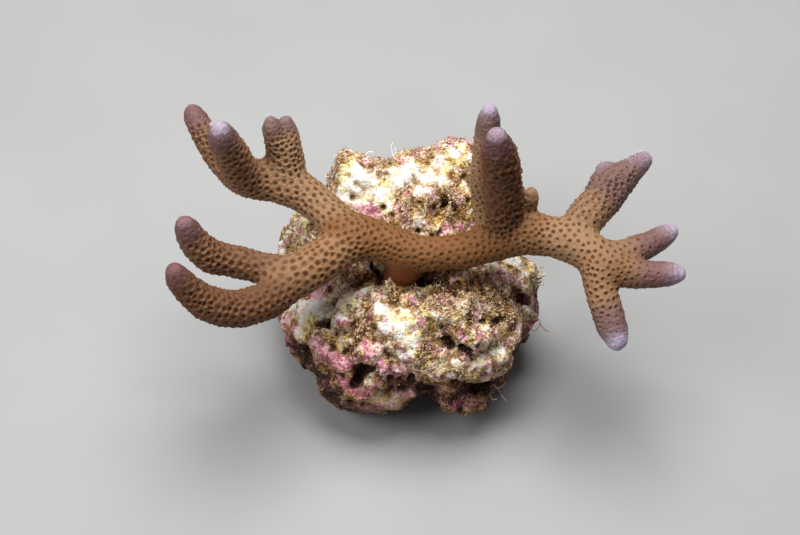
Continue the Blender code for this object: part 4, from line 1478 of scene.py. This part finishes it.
def hair_mesh(name, points, normals, lengths, width, shade, rng):
    """Tapered three-sided hairs that bend as the square of the way along them. One that would
    pass through the floor lies on it."""
    count, rings = len(points), 3
    way = unit(normals + rng.normal(scale=0.45, size=(count, 3)))
    bend = unit(rng.normal(size=(count, 3))) * lengths[:, None] * 0.5
    side = unit(np.cross(way, rng.normal(size=(count, 3))))
    other = np.cross(way, side)
    places = np.zeros((count, 3 * rings + 1, 3))
    for ring in range(rings):
        t = ring / rings
        centre = points + way * (lengths * t - 0.1)[:, None] + bend * t * t
        for corner in range(3):
            angle = 2.0 * math.pi * corner / 3.0
            spoke = math.cos(angle) * side + math.sin(angle) * other
            places[:, 3 * ring + corner] = centre + width * (1.0 - 0.7 * t) * spoke
    places[:, -1] = points + way * lengths[:, None] + bend
    places[:, :, 2] = np.maximum(places[:, :, 2], 0.0)
    quads = [
        (3 * ring + a, 3 * ring + (a + 1) % 3, 3 * ring + 3 + (a + 1) % 3, 3 * ring + 3 + a)
        for ring in range(rings - 1) for a in range(3)
    ]
    last = 3 * (rings - 1)
    triangles = [(last + a, last + (a + 1) % 3, 3 * rings) for a in range(3)] + [(2, 1, 0)]
    step = (3 * rings + 1) * np.arange(count)[:, None, None]
    quads = (np.array(quads) + step).reshape(-1, 4)
    triangles = (np.array(triangles) + step).reshape(-1, 3)
    values = {"shade": np.repeat(shade, 3 * rings + 1)}
    return new_mesh(name, places.reshape(-1, 3), (quads, triangles), values)


def tube_mesh(name, routes, sides=6):
    """Round threads along routes of x, y, z, radius rows, closed by a point at each end."""
    points, quads, triangles, base = [], [], [], 0
    for route in routes:
        way = unit(np.gradient(route[:, :3], axis=0))
        side = unit(np.cross(way, (0.3, 0.2, 0.9)))
        other = np.cross(way, side)
        angle = 2.0 * math.pi * np.arange(sides) / sides
        spoke = np.cos(angle)[:, None, None] * side + np.sin(angle)[:, None, None] * other
        ring = route[None, :, :3] + route[None, :, 3:] * spoke
        count = len(route)
        points.append(ring.transpose(1, 0, 2).reshape(-1, 3))
        points.append(route[[0, -1], :3] + route[[0, -1], 3:] * way[[0, -1]] * ((-1.0,), (1.0,)))
        along, around = np.meshgrid(np.arange(count - 1), np.arange(sides), indexing="ij")
        first = base + along * sides + around
        after = base + along * sides + (around + 1) % sides
        quads.append(np.stack((first, after, after + sides, first + sides), -1).reshape(-1, 4))
        turn = np.arange(sides)
        near, far = base + count * sides, base + count * sides + 1
        end = base + (count - 1) * sides
        triangles.append(np.column_stack((base + (turn + 1) % sides, base + turn, 0 * turn + near)))
        triangles.append(np.column_stack((end + turn, end + (turn + 1) % sides, 0 * turn + far)))
        base += count * sides + 2
    return new_mesh(name, np.vstack(points), (np.vstack(quads), np.vstack(triangles)))


def growth_material(name, colours):
    """Grains or hairs, each with a shade of its own."""
    material, tree, shader, _ = new_material(name)
    tree.links.new(ramp(tree, read_attribute(tree, "shade"), colours), shader.inputs["Base Color"])
    shader.inputs["Roughness"].default_value = 0.9
    shader.inputs["Specular IOR Level"].default_value = 0.1
    return material


def pixel_share(points, patches):
    """How far each point lies in round patches of the picture, seen through the rock: 1 in the
    middle of one and 0 outside all."""
    seen, _ = seen_at(points)
    share = np.zeros(len(points))
    for x, y, radius in patches:
        gap = np.hypot(seen[:, 0] - x, seen[:, 1] - y) / (PIXELS_PER_MM * radius)
        share = np.maximum(share, 1.0 - smoothstep(0.4, 1.2, gap))
    return share


def grow_turf(points, normals, values, colours, seed):
    """Pale grains, brown grains and short hairs on the rock."""
    clean = np.clip(1.0 - values["pink"] - 0.5 * values["pale"], 0.1, 1.0) * (points[:, 2] > 1.0)
    zone = values["turf"]
    grains = clean * (0.04 + 0.7 * zone + 0.3 * values["rust"])
    spots, ways, chosen, rng = scattered(points, normals, grains, ROCK_GRAINS, seed)
    radius = rng.uniform(0.09, 0.23, len(spots)) * (0.8 + 0.4 * zone[chosen])
    shade = rng.uniform(0.0, 1.0, len(spots)) - 0.35 * values["rust"][chosen] + 0.25 * zone[chosen]
    shade = np.clip(shade, 0.0, 1.0)
    mesh = grain_mesh("rock_grains", spots, ways, radius, shade, rng)
    tones = (colours.bark, colours.rust, colours.brown, colours.sand, colours.cream, colours.cream)
    new_piece("rock_grains", mesh, growth_material("reef_grains", tones), None)
    brow = smoothstep(0.2, 0.9, normals @ PICTURE_UP) * (points[:, 1] > 14.0)
    hairs = clean * (0.03 + 0.5 * values["rust"] + 0.25 * brow + 0.2 * values["olive"] + 0.3 * zone)
    spots, ways, _, rng = scattered(points, normals, hairs, ROCK_HAIRS, seed + 1)
    lengths, shade = rng.uniform(0.35, 0.95, len(spots)), rng.uniform(0.0, 1.0, len(spots))
    mesh = hair_mesh("rock_turf", spots, ways, lengths, TURF_RADIUS, shade, rng)
    tones = (colours.bark, colours.rust, colours.ochre, colours.olive, colours.moss, colours.sand)
    new_piece("rock_turf", mesh, growth_material("reef_turf", tones), None)


def grow_threads(field, low, step, colours):
    """Threads of red algae and pale beaded sprigs, each from its foot on the rock outwards through
    the pixels where the photograph shows it."""
    rng = np.random.default_rng(THREAD_SEED)
    for name, threads, tint in (
        ("rock_threads", THREADS, colours.dusk),
        ("rock_sprigs", SPRIGS, colours.white),
    ):
        routes = []
        for radius, *pixels in threads:
            pixels = np.array(pixels, float)
            inward = unit(ROCK_MIDDLE - pixels[0])
            feet = seen_on(field, low, step, pixels[0] + np.arange(16)[:, None] * inward)
            foot = feet[~np.isnan(feet).any(1)][0]
            across, down = (pixels - pixels[0]).T / PIXELS_PER_MM
            rows = foot + across[:, None] * np.array((1.0, 0.0, 0.0)) - down[:, None] * PICTURE_UP
            routes.append(smooth_route(np.column_stack((rows, np.full(len(rows), radius))), 0.25))
        material, _, shader, _ = new_material(name)
        shader.inputs["Base Color"].default_value = (*tint, 1.0)
        shader.inputs["Roughness"].default_value = 0.8
        new_piece(name, tube_mesh(name, routes), material, None)
    beads = np.vstack([route[2:] for route in routes[:4]])
    radius = 2.0 * beads[:, 3] * rng.uniform(0.5, 1.2, len(beads))
    ways = unit(rng.normal(size=(len(beads), 3)))
    mesh = grain_mesh("rock_beads", beads[:, :3], ways, radius, rng.uniform(0.0, 1.0, len(beads)), rng)
    tones = (colours.sand, colours.cream, colours.white)
    new_piece("rock_beads", mesh, growth_material("reef_beads", tones), None)


class CORAL_OT_rock(bpy.types.Operator):
    """Makes the crusted lump of reef rock"""

    bl_idname = "coral.rock"
    bl_label = "Reef Rock"

    def execute(self, context):
        settings = context.scene.coral_rock
        field, low, step = rock_field(settings, context.scene.coral_skin.fork_blend / MM)
        points, quads = largest_shell(*surface_net(field, low, step))
        normals = point_normals(points, quads)
        # Painted shade and light: how far each point lies below its smoothed neighbours darkens the
        # hollows and lightens the crests.
        depth = np.zeros(len(points))
        for rounds in (6, 40):
            smooth = relax(points, quads, rounds)
            depth += 0.5 * ((smooth - points) * normals).sum(1)
        values = rock_stains(points, normals, field, low, step, settings.seed + 1)
        depth /= settings.hollow_shade_reach / MM
        values["turf"] = pixel_share(points, GRAIN_PATCHES)
        values["hollow"] = np.clip(np.where(depth > 0.0, 1.3, 0.6) * depth, -0.5, 2.0)
        # Painted shade: the tone darkens towards the bottom, where the rock is also calmer and pinker.
        values["low"] = 1.0 - smoothstep(9.0, 24.0, points[:, 2])
        points[points[:, 2] < 0.02, 2] = 0.0
        mesh = new_mesh("rock_skin", points, (quads,), values)
        colours = context.scene.coral_rock_colours
        new_piece("rock_skin", mesh, rock_material(colours), "rock")
        grow_turf(points, normals, values, colours, settings.seed + 2)
        grow_threads(field, low, step, colours)
        return {"FINISHED"}


FLOOR_REACH = 3.0  # metres from the middle to each side
FLOOR_HEIGHT = -0.0002  # metres, just clear of the rock's flat base
# The soft lights: place and width in metres, and the setting that holds the power.
SOFTBOXES = {
    "overhead_softbox": ((0.02, 0.11, 0.48), 0.34, "key_power"),
    "side_softbox": ((-0.3, -0.12, 0.38), 0.3, "fill_power"),
}
SKY_COLOUR = (0.93, 0.92, 1.0, 1.0)


def add_softbox(name, place, target, size, power):
    """A round area light that faces its target."""
    light = bpy.data.lights.new(name, "AREA")
    light.shape = "DISK"
    light.size = size
    light.energy = power
    lamp = bpy.data.objects.new(name, light)
    lamp.location = place
    lamp.rotation_euler = (Vector(target) - Vector(place)).to_track_quat("-Z", "Y").to_euler()
    bpy.context.scene.collection.objects.link(lamp)


class CORAL_OT_stage(bpy.types.Operator):
    """Sets the pale floor, the soft lights and the photograph's camera"""

    bl_idname = "coral.stage"
    bl_label = "Stage"

    def execute(self, context):
        scene, settings = context.scene, context.scene.coral_stage
        mesh = bpy.data.meshes.new("floor")
        signs = ((-1, -1), (1, -1), (1, 1), (-1, 1))
        corners = [(FLOOR_REACH * x, FLOOR_REACH * y, FLOOR_HEIGHT) for x, y in signs]
        mesh.from_pydata(corners, [], [(0, 1, 2, 3)])
        mesh.materials.append(floor_material(tuple(settings.floor)))
        floor = bpy.data.objects.new("floor", mesh)
        scene.collection.objects.link(floor)
        for name, (place, width, power) in SOFTBOXES.items():
            add_softbox(name, place, CAMERA_TARGET * MM, width, getattr(settings, power))
        world = bpy.data.worlds.new("even_light")
        world.use_nodes = True
        background = world.node_tree.nodes["Background"]
        background.inputs["Color"].default_value = SKY_COLOUR
        background.inputs["Strength"].default_value = settings.sky
        scene.world = world
        scene.view_settings.view_transform = "Standard"
        camera = bpy.data.objects.new("camera", bpy.data.cameras.new("camera"))
        camera.data.sensor_width = SENSOR_WIDTH
        camera.data.lens = CAMERA_FOCAL_PIXELS / IMAGE_WIDTH * SENSOR_WIDTH
        camera.data.clip_start = 0.01
        eye, _ = picture_ray(PICTURE_MIDDLE)
        camera.location = Vector(eye * MM)
        camera.rotation_euler = (math.pi / 2 - CAMERA_ELEVATION, 0.0, 0.0)
        scene.collection.objects.link(camera)
        scene.camera = camera
        return {"FINISHED"}


class CORAL_PT_pieces(bpy.types.Panel):
    """Lists the steps that make the coral"""

    bl_label = "Montipora Coral"
    bl_idname = "CORAL_PT_pieces"
    bl_space_type = "VIEW_3D"
    bl_region_type = "UI"
    bl_category = "Coral"

    def draw(self, context):
        for operator in OPERATORS:
            self.layout.operator(operator.bl_idname)
        for group in SETTINGS:
            box = self.layout.box()
            settings = getattr(context.scene, group)
            for name in settings.bl_rna.properties.keys():
                if name not in ("rna_type", "name"):
                    box.prop(settings, name)


OPERATORS = (CORAL_OT_stage, CORAL_OT_skin, CORAL_OT_rock)
SETTINGS = {
    "coral_skin": CoralSkinSettings,
    "coral_colours": CoralColours,
    "coral_rock": RockSettings,
    "coral_rock_colours": RockColours,
    "coral_stage": StageSettings,
}
CLASSES = (*SETTINGS.values(), *OPERATORS, CORAL_PT_pieces)


def register():
    """Adds the classes, and each group of settings to the scene."""
    for cls in CLASSES:
        bpy.utils.register_class(cls)
    for name, group in SETTINGS.items():
        setattr(bpy.types.Scene, name, PointerProperty(type=group))


def unregister():
    """Takes the groups of settings and the classes away again."""
    for name in SETTINGS:
        delattr(bpy.types.Scene, name)
    for cls in reversed(CLASSES):
        bpy.utils.unregister_class(cls)


def main():
    """Makes the stage, the coral and the rock."""
    register()
    for operator in OPERATORS:
        group, name = operator.bl_idname.split(".")
        getattr(getattr(bpy.ops, group), name)()


if __name__ == "__main__":
    main()
